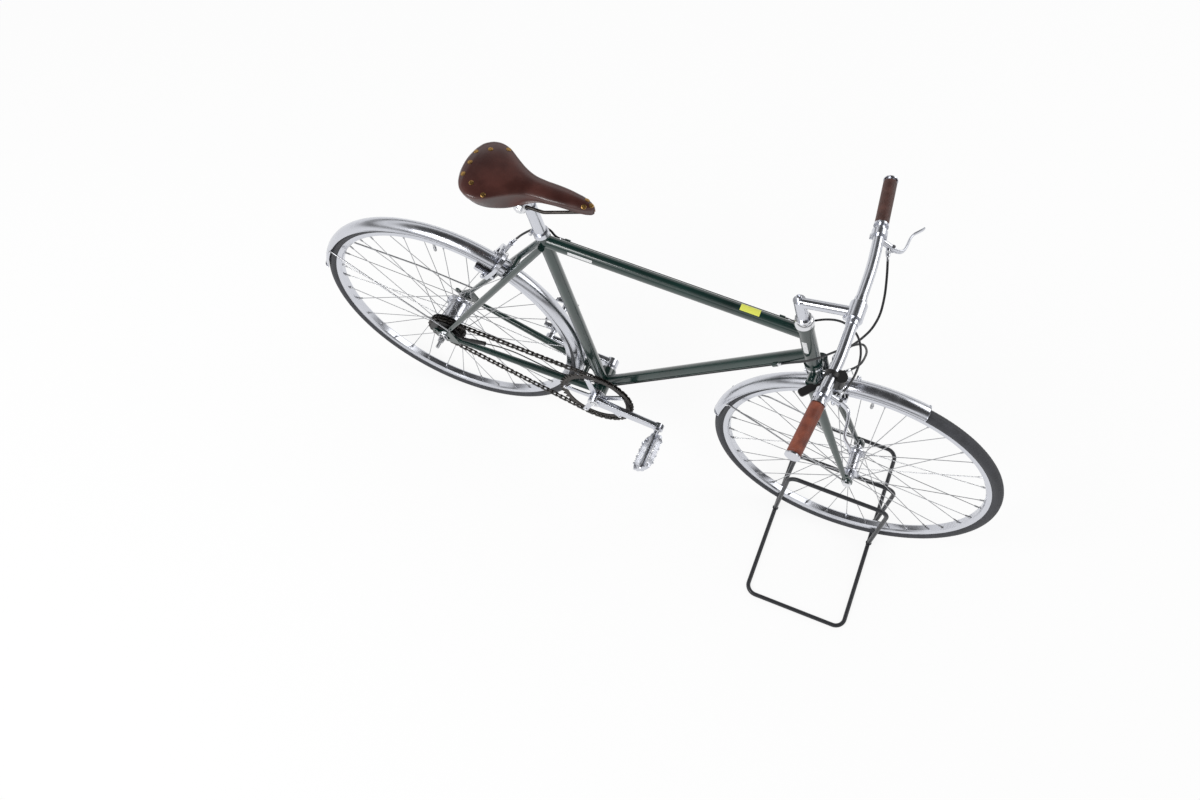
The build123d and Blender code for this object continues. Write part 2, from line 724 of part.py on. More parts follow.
for side, name in ((1, "left"), (-1, "right")):
    grip_start = on_bar(side, bar_half_width - grip_length)
    grip_end = on_bar(side, bar_half_width)
    outward = (grip_end - grip_start).normalized()
    with BuildPart() as grip:
        rod(grip_start + outward * 5.3, grip_end - outward * 3, grip_radius)
        rod(grip_start, grip_end, bar_radius + 0.05, Mode.SUBTRACT)
    save(grip.part, f"{name}_grip")
    with BuildPart() as grip_ends:
        rod(grip_start, grip_start + outward * 5, grip_radius + 0.5)
        rod(grip_start - outward, grip_start + outward * 6, bar_radius + 0.05, Mode.SUBTRACT)
        rod(grip_end + outward * seat_gap, grip_end + outward * 3, grip_radius + 0.5)
    save(grip_ends.part, f"{name}_grip_ends")

# ---------------------------------------------------------------- brake levers and shifter
lever_clamp_aside = 193.0


def barrel_line(side):
    """Direction in which a brake housing leaves its lever's bracket."""
    return Vector(6, -side * 18, -7).normalized()


for side, name in ((1, "left"), (-1, "right")):
    clamp = on_bar(side, lever_clamp_aside)
    outward = (on_bar(side, bar_half_width) - clamp).normalized()
    with BuildPart() as bracket:
        rod(clamp - outward * 7, clamp + outward * 7, bar_radius + 5)
        rod(clamp - outward * 7 + Vector(0, 0, -4), clamp - outward * 7 + Vector(34, 0, -20), 6.5)
        barrel = clamp - outward * 7 + Vector(24, 0, -17)
        rod(barrel, barrel + barrel_line(side) * 20, 4.5)
        rod(clamp - outward * 20, clamp + outward * 20, bar_radius + 0.05, Mode.SUBTRACT)
    save(bracket.part, f"{name}_lever_bracket")
    pivot = clamp - outward * 7 + Vector(34, 0, -20)
    with BuildPart() as lever:
        with BuildLine() as blade_line:
            FilletPolyline(pivot + Vector(0.86, 0, -0.5) * 0.4, pivot + Vector(22, side * 4, -9),
                           pivot + Vector(30, side * 62, -13), pivot + Vector(42, side * 80, -11), radius=14)
        blade_start = Plane(origin=blade_line.line @ 0, x_dir=across, z_dir=blade_line.line % 0)
        with BuildSketch(blade_start) as section:
            Ellipse(3.6, 5.8)
        sweep(section.sketch, path=blade_line.line)
    save(lever.part, f"{name}_brake_lever")

shifter_aside = 150.0
with BuildPart() as shifter:
    clamp = on_bar(-1, shifter_aside)
    outward = (on_bar(-1, bar_half_width) - clamp).normalized()
    rod(clamp - outward * 5, clamp + outward * 5, bar_radius + 4)
    rod(clamp + Vector(15, 0, -20), clamp + Vector(15, 0, 9), 13.5)
    rod(clamp + Vector(15, 12, 0), clamp + Vector(15, 12, 0) + Vector(5, 6, -1).normalized() * 8, 4)
    # Thumb paddle that reaches back under the bar
    paddle_root = clamp + Vector(8, -4, -17)
    with BuildSketch(Plane(origin=paddle_root, x_dir=(0, 0, 1), z_dir=(-38, -26, -2))) as paddle:
        RectangleRounded(5, 12, 2)
    extrude(paddle.sketch, amount=40)
    with BuildSketch(Plane(origin=clamp + Vector(-30, -30, -20), x_dir=(1, 0, 0), z_dir=(0, 0, 1))) as pad:
        with Locations(Location((-4, -6), 50)):
            RectangleRounded(34, 16, 5)
    extrude(pad.sketch, amount=4)
    rod(clamp - outward * 20, clamp + outward * 20, bar_radius + 0.05, Mode.SUBTRACT)
save(shifter.part, "shifter")


# ---------------------------------------------------------------- calliper brakes
def adjuster_place(foot, bolt_up, up, forward, lean):
    """Mouth of the cable's adjuster above a calliper."""
    return (foot + up * (bolt_up + adjuster_up) + forward * (arm_start + arm_depth + lean)
            + across * adjuster_aside)


def calliper(foot, bolt_up, up, forward, tail, lean):
    """Side-pull brake: two arched arms on one bolt, one layer in front of the other."""
    aside = up.cross(forward)
    for side, layer in ((1, arm_start), (-1, arm_start + arm_depth)):
        with BuildSketch(Plane(origin=foot + forward * layer, x_dir=aside * side, z_dir=forward)) as arm:
            rise = side * bolt_up
            with BuildLine():
                ThreePointArc((-8, rise + side * 10), (12, rise + side * 15), (36, rise - side * 20))
                Polyline((36, rise - side * 20), (34, side * (pad_radius - 8)), (25, side * (pad_radius - 8)),
                         (26, rise - side * 20))
                ThreePointArc((26, rise - side * 20), (14, rise + side * 0), (-8, rise - side * 7))
                Line((-8, rise - side * 7), (-8, rise + side * 10))
            make_face()
        extrude(arm.sketch, amount=arm_depth)
    bolt = foot + up * bolt_up
    arm_end = arm_start + 2 * arm_depth
    rod(bolt - forward * tail, bolt + forward * arm_end, brake_bolt_radius)
    rod(bolt + forward * (tail - 6), bolt + forward * arm_start, 7)
    rod(bolt + forward * arm_end, bolt + forward * (arm_end + 6), 6)
    # Raised arm on the left with the cable's adjuster, and the wire down to the other arm
    layer = forward * (arm_start + arm_depth)
    shoulder = bolt + layer + across * 12 + up * 10
    cradle = bolt + layer + across * adjuster_aside + up * 30
    rod(shoulder, cradle, 4.5)
    adjuster = adjuster_place(foot, bolt_up, up, forward, lean)
    rod(cradle - up * 3, adjuster, 3.8)
    rod(cradle + (adjuster - cradle) * 0.2, cradle + (adjuster - cradle) * 0.55, 6)
    rod(bolt + layer + across * adjuster_aside, cradle, wire_radius)


def pad_place(axle, up, forward, ahead):
    """Middle of a brake block on the wheel's middle plane, and the rim's direction there."""
    turn = asin(ahead / pad_radius)
    middle = axle + up * (pad_radius * cos(turn)) + forward * ahead
    return middle, forward * cos(turn) - up * sin(turn)


def brake_pads(axle, up, forward, ahead):
    """Rubber blocks that follow the rim on both sides."""
    middle, along = pad_place(axle, up, forward, ahead)
    for side in (1, -1):
        inner = middle + across * side * (rim_half + pad_gap)
        with BuildSketch(Plane(origin=inner, x_dir=along, z_dir=across * side)) as block:
            RectangleRounded(pad_length, pad_height, 3)
        extrude(block.sketch, amount=pad_depth)


with BuildPart() as front_brake_pads:
    brake_pads(front_axle, head_up, head_forward, pad_ahead - fork_rake)
save(front_brake_pads.part, "front_brake_pads")
with BuildPart() as front_brake_calliper:
    calliper(steering_foot, fork_bolt_up, head_up, head_forward, 24, front_lean)
save(front_brake_calliper.part, "front_brake_calliper")

with BuildPart() as rear_brake_pads:
    brake_pads(rear_axle, stay_up, stay_back, pad_ahead)
save(rear_brake_pads.part, "rear_brake_pads")
with BuildPart() as rear_brake_calliper:
    calliper(rear_axle, stay_bridge_up, stay_up, stay_back, 14, 0)
save(rear_brake_calliper.part, "rear_brake_calliper")

with BuildPart() as front_fender_stays:
    for side in (1, -1):
        wire_rod([fender_edge(front_axle, 162.7, side), front_axle + Vector(-234, side * 38, 89.5),
                  front_axle + Vector(-11, side * 57.3, 8)], 60, fender_stay_radius)
save(front_fender_stays.part, "front_fender_stays")


# ---------------------------------------------------------------- drivetrain
def pitch_radius(teeth):
    """Radius of the chain's pins round a wheel with this many teeth."""
    return chain_pitch / (2 * sin(pi / teeth))


ring_center = bottom_bracket - across * chain_line
sprocket_center = rear_axle - across * chain_line
ring_pitch = pitch_radius(ring_teeth)
sprocket_pitch = pitch_radius(sprocket_teeth)
chain_run = bottom_bracket - rear_axle
run_angle = atan2(chain_run.Z, chain_run.X)
spread = asin((ring_pitch - sprocket_pitch) / chain_run.length)
upper_angle = run_angle + pi / 2 + spread
lower_angle = run_angle - pi / 2 - spread
run_links = chain_run.length * cos(spread) / chain_pitch
ring_links = (pi + 2 * spread) * ring_teeth / (2 * pi)
sprocket_links = (pi - 2 * spread) * sprocket_teeth / (2 * pi)
whole_links = 2 * run_links + ring_links + sprocket_links


def toward(angle):
    """Direction in the wheels' plane at an angle up from straight ahead."""
    return Vector(cos(angle), 0, sin(angle))


def ring_turn(number):
    """Angle on the chainring of the chain's pin with this number."""
    past = number * whole_links / chain_links - run_links
    return upper_angle - past * 2 * pi / ring_teeth


def sprocket_turn(number):
    """Angle on the sprocket of the chain's pin with this number."""
    past = number * whole_links / chain_links - 2 * run_links - ring_links
    return lower_angle - past * 2 * pi / sprocket_teeth


def chain_pin(number):
    """Place of a pin: upper run, round the ring, lower run, round the sprocket."""
    links = (number % chain_links) * whole_links / chain_links
    if links < run_links:
        start = sprocket_center + toward(upper_angle) * sprocket_pitch
        end = ring_center + toward(upper_angle) * ring_pitch
        return start + (end - start) * (links / run_links)
    if links < run_links + ring_links:
        return ring_center + toward(ring_turn(number % chain_links)) * ring_pitch
    if links < 2 * run_links + ring_links:
        start = ring_center + toward(lower_angle) * ring_pitch
        end = sprocket_center + toward(lower_angle) * sprocket_pitch
        return start + (end - start) * ((links - run_links - ring_links) / run_links)
    return sprocket_center + toward(sprocket_turn(number % chain_links)) * sprocket_pitch


def toothed_disc(center, teeth, hole_radius, first_gap):
    """Flat wheel with a tooth between each two pins of the chain, from the angle of a first gap."""
    pitch = pitch_radius(teeth)
    root, tip = pitch - 3.9, pitch + 3.7
    step = 2 * pi / teeth
    corners = []
    for number in range(teeth):
        for share, radius in ((0.18, root), (0.42, tip), (0.58, tip), (0.82, root)):
            angle = first_gap + (number + share) * step
            corners.append((radius * cos(angle), radius * sin(angle)))
    with BuildSketch(Plane(origin=center, x_dir=(1, 0, 0), z_dir=(0, -1, 0))) as disc:
        with BuildLine():
            Polyline(*corners, close=True)
        make_face()
        Circle(hole_radius, mode=Mode.SUBTRACT)
    extrude(disc.sketch, amount=tooth_width / 2, both=True)


ring_hole_radius = 78.0
with BuildPart() as chainring:
    toothed_disc(ring_center, ring_teeth, ring_hole_radius, ring_turn(ceil(run_links)))
save(chainring.part, "chainring")
with BuildPart() as rear_sprocket:
    toothed_disc(sprocket_center, sprocket_teeth, driver_radius, sprocket_turn(chain_links))
save(rear_sprocket.part, "rear_sprocket")
with BuildPart() as sprocket_guard:
    guard_start = rear_axle - across * (chain_line + 5.8)
    rod(guard_start, guard_start - across * 1.5, pitch_radius(sprocket_teeth) - 3.5)
    rod(sprocket_center - across * tooth_width / 2, guard_start, 22)
    rod(rear_axle - across * 40, rear_axle - across * 60, driver_radius, Mode.SUBTRACT)
    turned(rear_axle, [(26, -33), (47, -33), (47, -34.5), (26, -34.5)])
save(sprocket_guard.part, "sprocket_guard")

pin_radius = 1.8


def link_outline(number, plane):
    """Corners of one plate between two pins: round ends and a narrower waist."""
    back = plane.to_local_coords(chain_pin(number))
    front = plane.to_local_coords(chain_pin(number + 1))
    back, front = Vector(back.X, back.Y), Vector(front.X, front.Y)
    along = (front - back).normalized()
    beside = Vector(-along.Y, along.X)
    middle = (front + back) * 0.5
    corners = []
    for center, facing in ((front, 1), (back, -1)):
        for degrees_round in (-72, -36, 0, 36, 72):
            turn = radians(degrees_round)
            corner = center + (along * cos(turn) + beside * sin(turn)) * facing * link_half_height
            corners.append((corner.X, corner.Y))
        corner = middle + beside * facing * link_waist
        corners.append((corner.X, corner.Y))
    return corners


with BuildPart() as chain:
    for side in (1, -1):
        for first in (0, 1):
            inner_face = plate_gap + first * plate_thickness
            row = Plane(origin=rear_axle + across * (-chain_line + side * inner_face), x_dir=(1, 0, 0),
                        z_dir=(0, -1, 0))
            plates = []
            for number in range(first, chain_links, 2):
                with BuildSketch(row) as plate:
                    with BuildLine():
                        Polyline(*link_outline(number, row), close=True)
                    make_face()
                plates += plate.sketch.faces()
            extrude(plates, amount=-side * plate_thickness, clean=False)
    pin_half = across * (plate_gap + 2 * plate_thickness + 0.5)
    tip_gap = 3.7 + pin_radius + 0.5
    rollers = []
    for number in range(chain_links):
        pin = chain_pin(number)
        from_ring = (pin - ring_center).length - ring_pitch
        from_sprocket = (pin - sprocket_center).length - sprocket_pitch
        if min(from_ring, from_sprocket) < tip_gap:
            continue
        with BuildSketch(Plane(origin=pin - pin_half, z_dir=across)) as roller:
            RegularPolygon(pin_radius, 8)
        rollers += roller.sketch.faces()
    extrude(rollers, amount=2 * pin_half.length, clean=False)
save(chain.part, "chain")

crank_inner = 46.5
with BuildPart() as crank_spindle:
    rod(bottom_bracket - across * 62, bottom_bracket + across * 62, spindle_radius)
save(crank_spindle.part, "crank_spindle")


def crank(side, forward):
    """Tapered arm from the spindle to the pedal, with the pedal's pin."""
    pedal_center = bottom_bracket + Vector(forward * crank_length, 0, 0)
    out = across * side
    with_sections = [(0.0, 55.5, 7.5, 15.0), (0.5, 60.0, 6.8, 12.5), (1.0, 64.0, 6.5, 11.0)]
    faces = []
    for share, aside, half_thick, half_high in with_sections:
        middle = bottom_bracket + Vector(forward * crank_length * share, side * aside, 0)
        with BuildSketch(Plane(origin=middle, x_dir=across, z_dir=(forward, 0, 0))) as section:
            RectangleRounded(2 * half_thick, 2 * half_high, 4)
        faces.append(section.sketch)
    loft(faces, ruled=True)
    rod(bottom_bracket + out * crank_inner, bottom_bracket + out * 65, 16)
    rod(pedal_center + out * 57.5, pedal_center + out * 70.5, 13)
    rod(pedal_center + out * 70.5, pedal_center + out * (70.5 + pedal_gap), 6.5)
    rod(pedal_center + out * 70.5, pedal_center + out * (68.5 + pedal_gap + pedal_width), 4.5)
    rod(bottom_bracket, bottom_bracket + out * 62.3, spindle_radius + 0.03, Mode.SUBTRACT)


with BuildPart() as right_crank:
    crank(-1, 1)
    spider_plane = Plane(origin=ring_center - across * tooth_width / 2, x_dir=(1, 0, 0), z_dir=(0, -1, 0))
    with BuildSketch(spider_plane) as spider:
        for number in range(5):
            turn = 36 + 72 * number
            with Locations(Rot(0, 0, turn) * Pos(49, 0, 0)):
                Rectangle(72, 13)
        Circle(20)
        Circle(spindle_radius + 0.03, mode=Mode.SUBTRACT)
    extrude(spider.sketch, amount=4)
save(right_crank.part, "right_crank")

with BuildPart() as left_crank:
    crank(1, -1)
save(left_crank.part, "left_crank")


def pedal(side, forward, tilt):
    """Cage pedal that turns on the crank's pin."""
    pivot = bottom_bracket + Vector(forward * crank_length, 0, 0)
    out = across * side
    inner = 70.5 + pedal_gap + 2
    outer = inner + pedal_width
    ahead = Vector(cos(radians(tilt)), 0, sin(radians(tilt)))
    up = Vector(-sin(radians(tilt)), 0, cos(radians(tilt)))
    rod(pivot + out * inner, pivot + out * outer, 10)
    for end in (inner, outer - 4):
        with BuildSketch(Plane(origin=pivot + out * end, x_dir=ahead, z_dir=out)) as plate:
            RectangleRounded(pedal_length, 18, 6)
        extrude(plate.sketch, amount=4)
    for edge in (1, -1):
        start = pivot + out * inner + ahead * edge * (pedal_length / 2 - 2)
        with BuildSketch(Plane(origin=start, x_dir=ahead, z_dir=out)) as cage:
            Rectangle(2.4, 24)
        extrude(cage.sketch, amount=pedal_width)
    rod(pivot + out * (inner - 1), pivot + out * (outer - 3), 4.6, Mode.SUBTRACT)


with BuildPart() as right_pedal:
    pedal(-1, 1, 55)
save(right_pedal.part, "right_pedal")
with BuildPart() as left_pedal:
    pedal(1, -1, 0)
save(left_pedal.part, "left_pedal")

# ---------------------------------------------------------------- cables
def barrel_end(side):
    """Mouth of the lever bracket's barrel, where the housing starts."""
    clamp = on_bar(side, lever_clamp_aside)
    outward = (on_bar(side, bar_half_width) - clamp).normalized()
    return clamp - outward * 7 + Vector(24, 0, -17) + barrel_line(side) * (20 + seat_gap)


# Every housing leaves its barrel, adjuster or stop in line with it.
with BuildPart() as front_brake_cable:
    front_mouth = adjuster_place(steering_foot, fork_bolt_up, head_up, head_forward, front_lean)
    front_line = (head_up * (adjuster_up - 30) + head_forward * front_lean).normalized()
    cord([barrel_end(1), barrel_end(1) + barrel_line(1) * 36, spot(940, 98, 870), spot(945, 67, 847),
          spot(940, 47, 818), spot(927, 33, 791), front_mouth + front_line * 26,
          front_mouth + front_line * seat_gap], housing_radius)
save(front_brake_cable.part, "front_brake_cable")

top_stop = spot(top_stop_front + seat_gap, stop_aside, top_tube_front.Z)
with BuildPart() as rear_brake_housing:
    cord([barrel_end(-1), barrel_end(-1) + barrel_line(-1) * 38, spot(936, -90, 880), spot(932, -46, 876),
          spot(914, -7, 871), spot(880, 20, 855), spot(843, 27, 828), top_stop + Vector(33, 0, 0), top_stop],
         housing_radius)
save(rear_brake_housing.part, "rear_brake_housing")

down_stop_mouth = down_stop + down_tube_line * (stop_length + seat_gap)
nozzle_line = Vector(5, 6, -1).normalized()
with BuildPart() as shift_housing:
    nozzle_end = on_bar(-1, shifter_aside) + Vector(15, 12, 0) + nozzle_line * (8 + seat_gap)
    cord([nozzle_end, nozzle_end + nozzle_line * 34, spot(940, -73, 902), spot(941, -42, 880), spot(930, -16, 859),
          spot(906, -18, 831), spot(883, -23, 799), spot(862, -26, 767), spot(840, -25, 736),
          down_stop_mouth + down_tube_line * 33, down_stop_mouth], housing_radius)
save(shift_housing.part, "shift_housing")

with BuildPart() as rear_brake_cable:
    wire_start = spot(top_stop_front - stop_length - seat_gap, stop_aside, top_tube_front.Z)
    rod(wire_start, spot(top_stop_rear + seat_gap, stop_aside, top_tube_front.Z), wire_radius)
    rear_mouth = adjuster_place(rear_axle, stay_bridge_up, stay_up, stay_back, 0)
    cord([spot(top_stop_rear - stop_length - seat_gap, stop_aside, top_tube_front.Z),
          spot(268, stop_aside, top_tube_front.Z), spot(248, 29, 802), spot(226, 31.5, 794), spot(204, 28.5, 775),
          rear_mouth + stay_up * 31, rear_mouth + stay_up * seat_gap], housing_radius)
save(rear_brake_cable.part, "rear_brake_cable")

with BuildPart() as shift_cable:
    bend_start = bottom_bracket + down_tube_line * 72 - across * stop_aside
    rod(down_stop - down_tube_line * seat_gap, bend_start, wire_radius)
    cord([bend_start, bottom_bracket + down_tube_line * 36 - across * stop_aside, spot(388, -20, 304),
          spot(346, -27, 306), spot(304, -34.5, 313), spot(262, -43, 333), spot(226, -50, 356),
          spot(190, -57, 378), adjuster_high + adjuster_line * 38, adjuster_high + adjuster_line * seat_gap],
         wire_radius)
save(shift_cable.part, "shift_cable")

# ---------------------------------------------------------------- floor stand
with BuildPart() as stand_base:
    corners = [(stand_back, stand_right), (stand_front, stand_right), (stand_front, stand_left),
               (stand_back, stand_left)]
    with BuildLine() as loop:
        FilletPolyline(*[spot(ahead, aside, stand_rod) for ahead, aside in corners],
                       radius=stand_bend, close=True)
    with BuildSketch(Plane(origin=loop.line @ 0, z_dir=loop.line % 0)) as section:
        Circle(stand_rod)
    sweep(section.sketch, path=loop.line)
save(stand_base.part, "stand_base")

for side, name in ((1, "left"), (-1, "right")):
    with BuildPart() as hoop:
        low = 2 * stand_rod + seat_gap
        wire_rod([spot(stand_back, side * stand_hoop_across, low),
                  spot(stand_back, side * stand_hoop_across, stand_hoop_height),
                  spot(stand_front, side * stand_hoop_across, stand_hoop_height),
                  spot(stand_front, side * stand_hoop_across, low)], stand_bend, stand_rod)
    save(hoop.part, f"{name}_stand_hoop")
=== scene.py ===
import json
from math import cos, radians, sin

import bmesh
import bpy
import numpy as np
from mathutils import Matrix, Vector


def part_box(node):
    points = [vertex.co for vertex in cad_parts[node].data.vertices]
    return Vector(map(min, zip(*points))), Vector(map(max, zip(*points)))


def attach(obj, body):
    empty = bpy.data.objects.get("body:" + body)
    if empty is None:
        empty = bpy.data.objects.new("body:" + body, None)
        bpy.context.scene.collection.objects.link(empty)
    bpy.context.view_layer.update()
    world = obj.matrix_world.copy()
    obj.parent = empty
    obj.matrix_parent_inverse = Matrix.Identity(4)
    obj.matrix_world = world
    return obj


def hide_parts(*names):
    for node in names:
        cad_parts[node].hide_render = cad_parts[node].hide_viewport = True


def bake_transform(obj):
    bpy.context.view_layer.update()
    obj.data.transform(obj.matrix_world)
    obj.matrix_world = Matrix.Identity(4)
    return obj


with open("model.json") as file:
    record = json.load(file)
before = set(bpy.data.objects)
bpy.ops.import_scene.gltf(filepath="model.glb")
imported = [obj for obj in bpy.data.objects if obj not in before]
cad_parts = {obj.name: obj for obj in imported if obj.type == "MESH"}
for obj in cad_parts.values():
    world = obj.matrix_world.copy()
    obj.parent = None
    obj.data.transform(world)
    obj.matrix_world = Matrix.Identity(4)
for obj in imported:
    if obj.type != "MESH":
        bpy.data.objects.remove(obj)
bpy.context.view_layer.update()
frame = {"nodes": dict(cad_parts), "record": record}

nodes = frame["nodes"]


# Places that the pieces are set out from, all in metres
def middleOf(node):
    low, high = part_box(node)
    return np.array((low + high) / 2)


rearAxle = middleOf("rear_tyre")
frontAxle = middleOf("front_tyre")
bracket = middleOf("crank_spindle")
acrossLine = np.array((0.0, 1.0, 0.0))
headAngle = radians(70.6)
headUp = np.array((-cos(headAngle), 0.0, sin(headAngle)))
headForward = np.array((sin(headAngle), 0.0, cos(headAngle)))
seatAngle = radians(73.7)
seatUp = np.array((-cos(seatAngle), 0.0, sin(seatAngle)))
forkRake = 0.043
steeringFoot = frontAxle - headForward * forkRake
crankLength = 0.170


def spot(ahead, aside, height):
    # a point measured forward from the rear axle, left from the middle, up from the floor
    return np.array((rearAxle[0] + ahead, aside, height))


def onSteering(up, forward=0.0, aside=0.0):
    # a point measured along the steering axis from the front axle's foot on it
    return steeringFoot + headUp * up + headForward * forward + acrossLine * aside


stemCorner = onSteering(0.604)
stemLine = np.array((cos(radians(15.7)), 0.0, sin(radians(15.7))))
barMiddle = stemCorner + stemLine * 0.111
bar = {"bend": 0.115, "end": 0.331, "sweep": 0.022, "drop": 0.002}


def onBar(side, aside):
    # a point on the handlebar's straight outer stretch
    bend = barMiddle + acrossLine * side * bar["bend"]
    end = barMiddle + np.array((-bar["sweep"], side * bar["end"], -bar["drop"]))
    return bend + (end - bend) * (aside - bar["bend"]) / (bar["end"] - bar["bend"])


def unit(direction):
    direction = np.array(direction, float)
    return direction / np.linalg.norm(direction)


# Colour and node helpers
def toLinear(hexColour):
    # sRGB hex to the linear colour that shaders take
    channels = np.array([int(hexColour[i:i + 2], 16) for i in (1, 3, 5)]) / 255
    linear = np.where(channels <= 0.04045, channels / 12.92, ((channels + 0.055) / 1.055) ** 2.4)
    return (*[float(channel) for channel in linear], 1.0)


def addNode(material, kind, settings=None, links=None):
    # one node with its settings, which are inputs or properties, and what feeds it
    node = material.node_tree.nodes.new(kind)
    for name, value in (settings or {}).items():
        if isinstance(name, int) or name in node.inputs:
            node.inputs[name].default_value = value
        else:
            setattr(node, name, value)
    for name, socket in (links or {}).items():
        material.node_tree.links.new(socket, node.inputs[name])
    return node


def newFinish(name, settings):
    # a material whose constants sit on the shader's own sockets
    material = bpy.data.materials.new(name)
    material.use_nodes = True
    shader = material.node_tree.nodes["Principled BSDF"]
    for socket, value in settings.items():
        shader.inputs[socket].default_value = toLinear(value) if isinstance(value, str) else value
    return material, shader


def feed(material, shader, socket, output):
    material.node_tree.links.new(output, shader.inputs[socket])


def grainHeight(material, spacing, detail=2.0, stretch=(1, 1, 1)):
    # noise whose lumps are as far apart as the real grain, from a size in metres
    place = addNode(material, "ShaderNodeTexCoord")
    turned = addNode(material, "ShaderNodeMapping", {"Scale": stretch}, {"Vector": place.outputs["Object"]})
    return addNode(material, "ShaderNodeTexNoise", {"Scale": 1 / spacing, "Detail": detail},
                   {"Vector": turned.outputs["Vector"]})


def addBump(material, shader, height, depth):
    bump = addNode(material, "ShaderNodeBump", {"Distance": depth, "Strength": 1.0}, {"Height": height})
    feed(material, shader, "Normal", bump.outputs["Normal"])
    return bump


def setStops(ramp, colours):
    # lay (place, linear colour) pairs along a colour ramp
    stops = ramp.color_ramp.elements
    while len(stops) < len(colours):
        stops.new(0.5)
    for stop, (place, colour) in zip(stops, colours):
        stop.position = place
        stop.color = colour


def addTones(material, shader, noise, tones):
    # base colour that wanders with a noise, from (place, hex colour) pairs
    ramp = addNode(material, "ShaderNodeValToRGB", None, {"Fac": noise.outputs["Fac"]})
    setStops(ramp, [(place, toLinear(tone)) for place, tone in tones])
    feed(material, shader, "Base Color", ramp.outputs["Color"])


def addShine(material, shader, noise, low, high):
    # roughness that wanders with a noise from one value to another
    limits = {"From Min": 0.3, "From Max": 0.7, "To Min": low, "To Max": high}
    span = addNode(material, "ShaderNodeMapRange", limits, {"Value": noise.outputs["Fac"]})
    feed(material, shader, "Roughness", span.outputs["Result"])


def addPores(material, shader, spacing):
    # pores of leather, as fine cells
    place = addNode(material, "ShaderNodeTexCoord")
    pores = addNode(material, "ShaderNodeTexVoronoi", {"Scale": 1 / spacing},
                    {"Vector": place.outputs["Object"]})
    addBump(material, shader, pores.outputs["Distance"], 0.00006)


def greenEnamel():
    # stove enamel, sprayed: a deep green under clear lacquer, with a trace of orange peel
    material, shader = newFinish("greenStoveEnamel", {
        "Base Color": "#05231f", "Roughness": 0.3, "IOR": 1.5, "Coat Weight": 1.0, "Coat Roughness": 0.03,
        "Coat IOR": 1.5})
    grain = grainHeight(material, 0.09, 3)
    addTones(material, shader, grain, [(0.35, "#041f1c"), (0.65, "#072c27")])
    peel = grainHeight(material, 0.0018, 1)
    bump = addBump(material, shader, peel.outputs["Fac"], 0.00002)
    material.node_tree.links.new(bump.outputs["Normal"], shader.inputs["Coat Normal"])
    return material


def polishedAluminium():
    # buffed aluminium: bright, with faint lines left by the wheel
    material, shader = newFinish("buffedAluminium",
                                 {"Base Color": "#cfd1d8", "Metallic": 1.0, "Roughness": 0.22})
    smudge = grainHeight(material, 0.03, 4)
    addShine(material, shader, smudge, 0.16, 0.3)
    lines = grainHeight(material, 0.0015, 2, stretch=(1, 12, 1))
    addBump(material, shader, lines.outputs["Fac"], 0.000012)
    return material


def chromePlate():
    # bright nickel-chrome plate: nearly a mirror, a shade cool
    material, shader = newFinish("chromePlate", {"Base Color": "#dcdde0", "Metallic": 1.0, "Roughness": 0.06})
    smudge = grainHeight(material, 0.02, 3)
    addShine(material, shader, smudge, 0.04, 0.1)
    return material


def drawnSteel():
    # drawn stainless wire and turned steel: a soft grey sheen
    material, shader = newFinish("drawnStainless",
                                 {"Base Color": "#b4b5b8", "Metallic": 1.0, "Roughness": 0.28})
    streak = grainHeight(material, 0.004, 3)
    addShine(material, shader, streak, 0.2, 0.36)
    return material


def oiledSteel():
    # blued and oiled chain steel: dark brown-black, patchily shiny
    material, shader = newFinish("oiledSteel", {"Base Color": "#3a3634", "Metallic": 0.9, "Roughness": 0.4})
    oil = grainHeight(material, 0.006, 4)
    addTones(material, shader, oil, [(0.35, "#23201f"), (0.65, "#4d4946")])
    addShine(material, shader, oil, 0.28, 0.5)
    return material


def curedRubber():
    # moulded tyre rubber: dull charcoal with a bloom of dust on its sides
    material, shader = newFinish("mouldedTyreRubber",
                                 {"Base Color": "#3a3b3f", "Roughness": 0.66, "IOR": 1.52})
    dust = grainHeight(material, 0.018, 4)
    addTones(material, shader, dust, [(0.3, "#323337"), (0.7, "#46474c")])
    addShine(material, shader, dust, 0.6, 0.85)
    grit = grainHeight(material, 0.0009, 2)
    addBump(material, shader, grit.outputs["Fac"], 0.00008)
    return material


def blackRubber():
    # compression moulded brake and cable rubber: flat black
    material, shader = newFinish("mouldedRubber", {"Base Color": "#151516", "Roughness": 0.6, "IOR": 1.52})
    grit = grainHeight(material, 0.0012, 2)
    addShine(material, shader, grit, 0.5, 0.72)
    addBump(material, shader, grit.outputs["Fac"], 0.00004)
    return material


def blackNylon():
    # glass-filled nylon, moulded: satin black with a fine spark-eroded texture
    material, shader = newFinish("mouldedNylon", {"Base Color": "#131314", "Roughness": 0.42, "IOR": 1.53})
    grain = grainHeight(material, 0.0007, 2)
    addShine(material, shader, grain, 0.34, 0.52)
    addBump(material, shader, grain.outputs["Fac"], 0.00003)
    return material


def saddleLeather():
    # vegetable-tanned saddle leather, waxed: deep chestnut, worn paler where it is sat on
    material, shader = newFinish("waxedSaddleLeather", {
        "Base Color": "#3a1813", "Roughness": 0.34, "IOR": 1.5, "Coat Weight": 0.6, "Coat Roughness": 0.14})
    wear = grainHeight(material, 0.045, 4)
    addTones(material, shader, wear, [(0.3, "#321410"), (0.5, "#3c1913"), (0.72, "#4a2018")])
    addShine(material, shader, wear, 0.28, 0.46)
    addPores(material, shader, 0.0016)
    return material


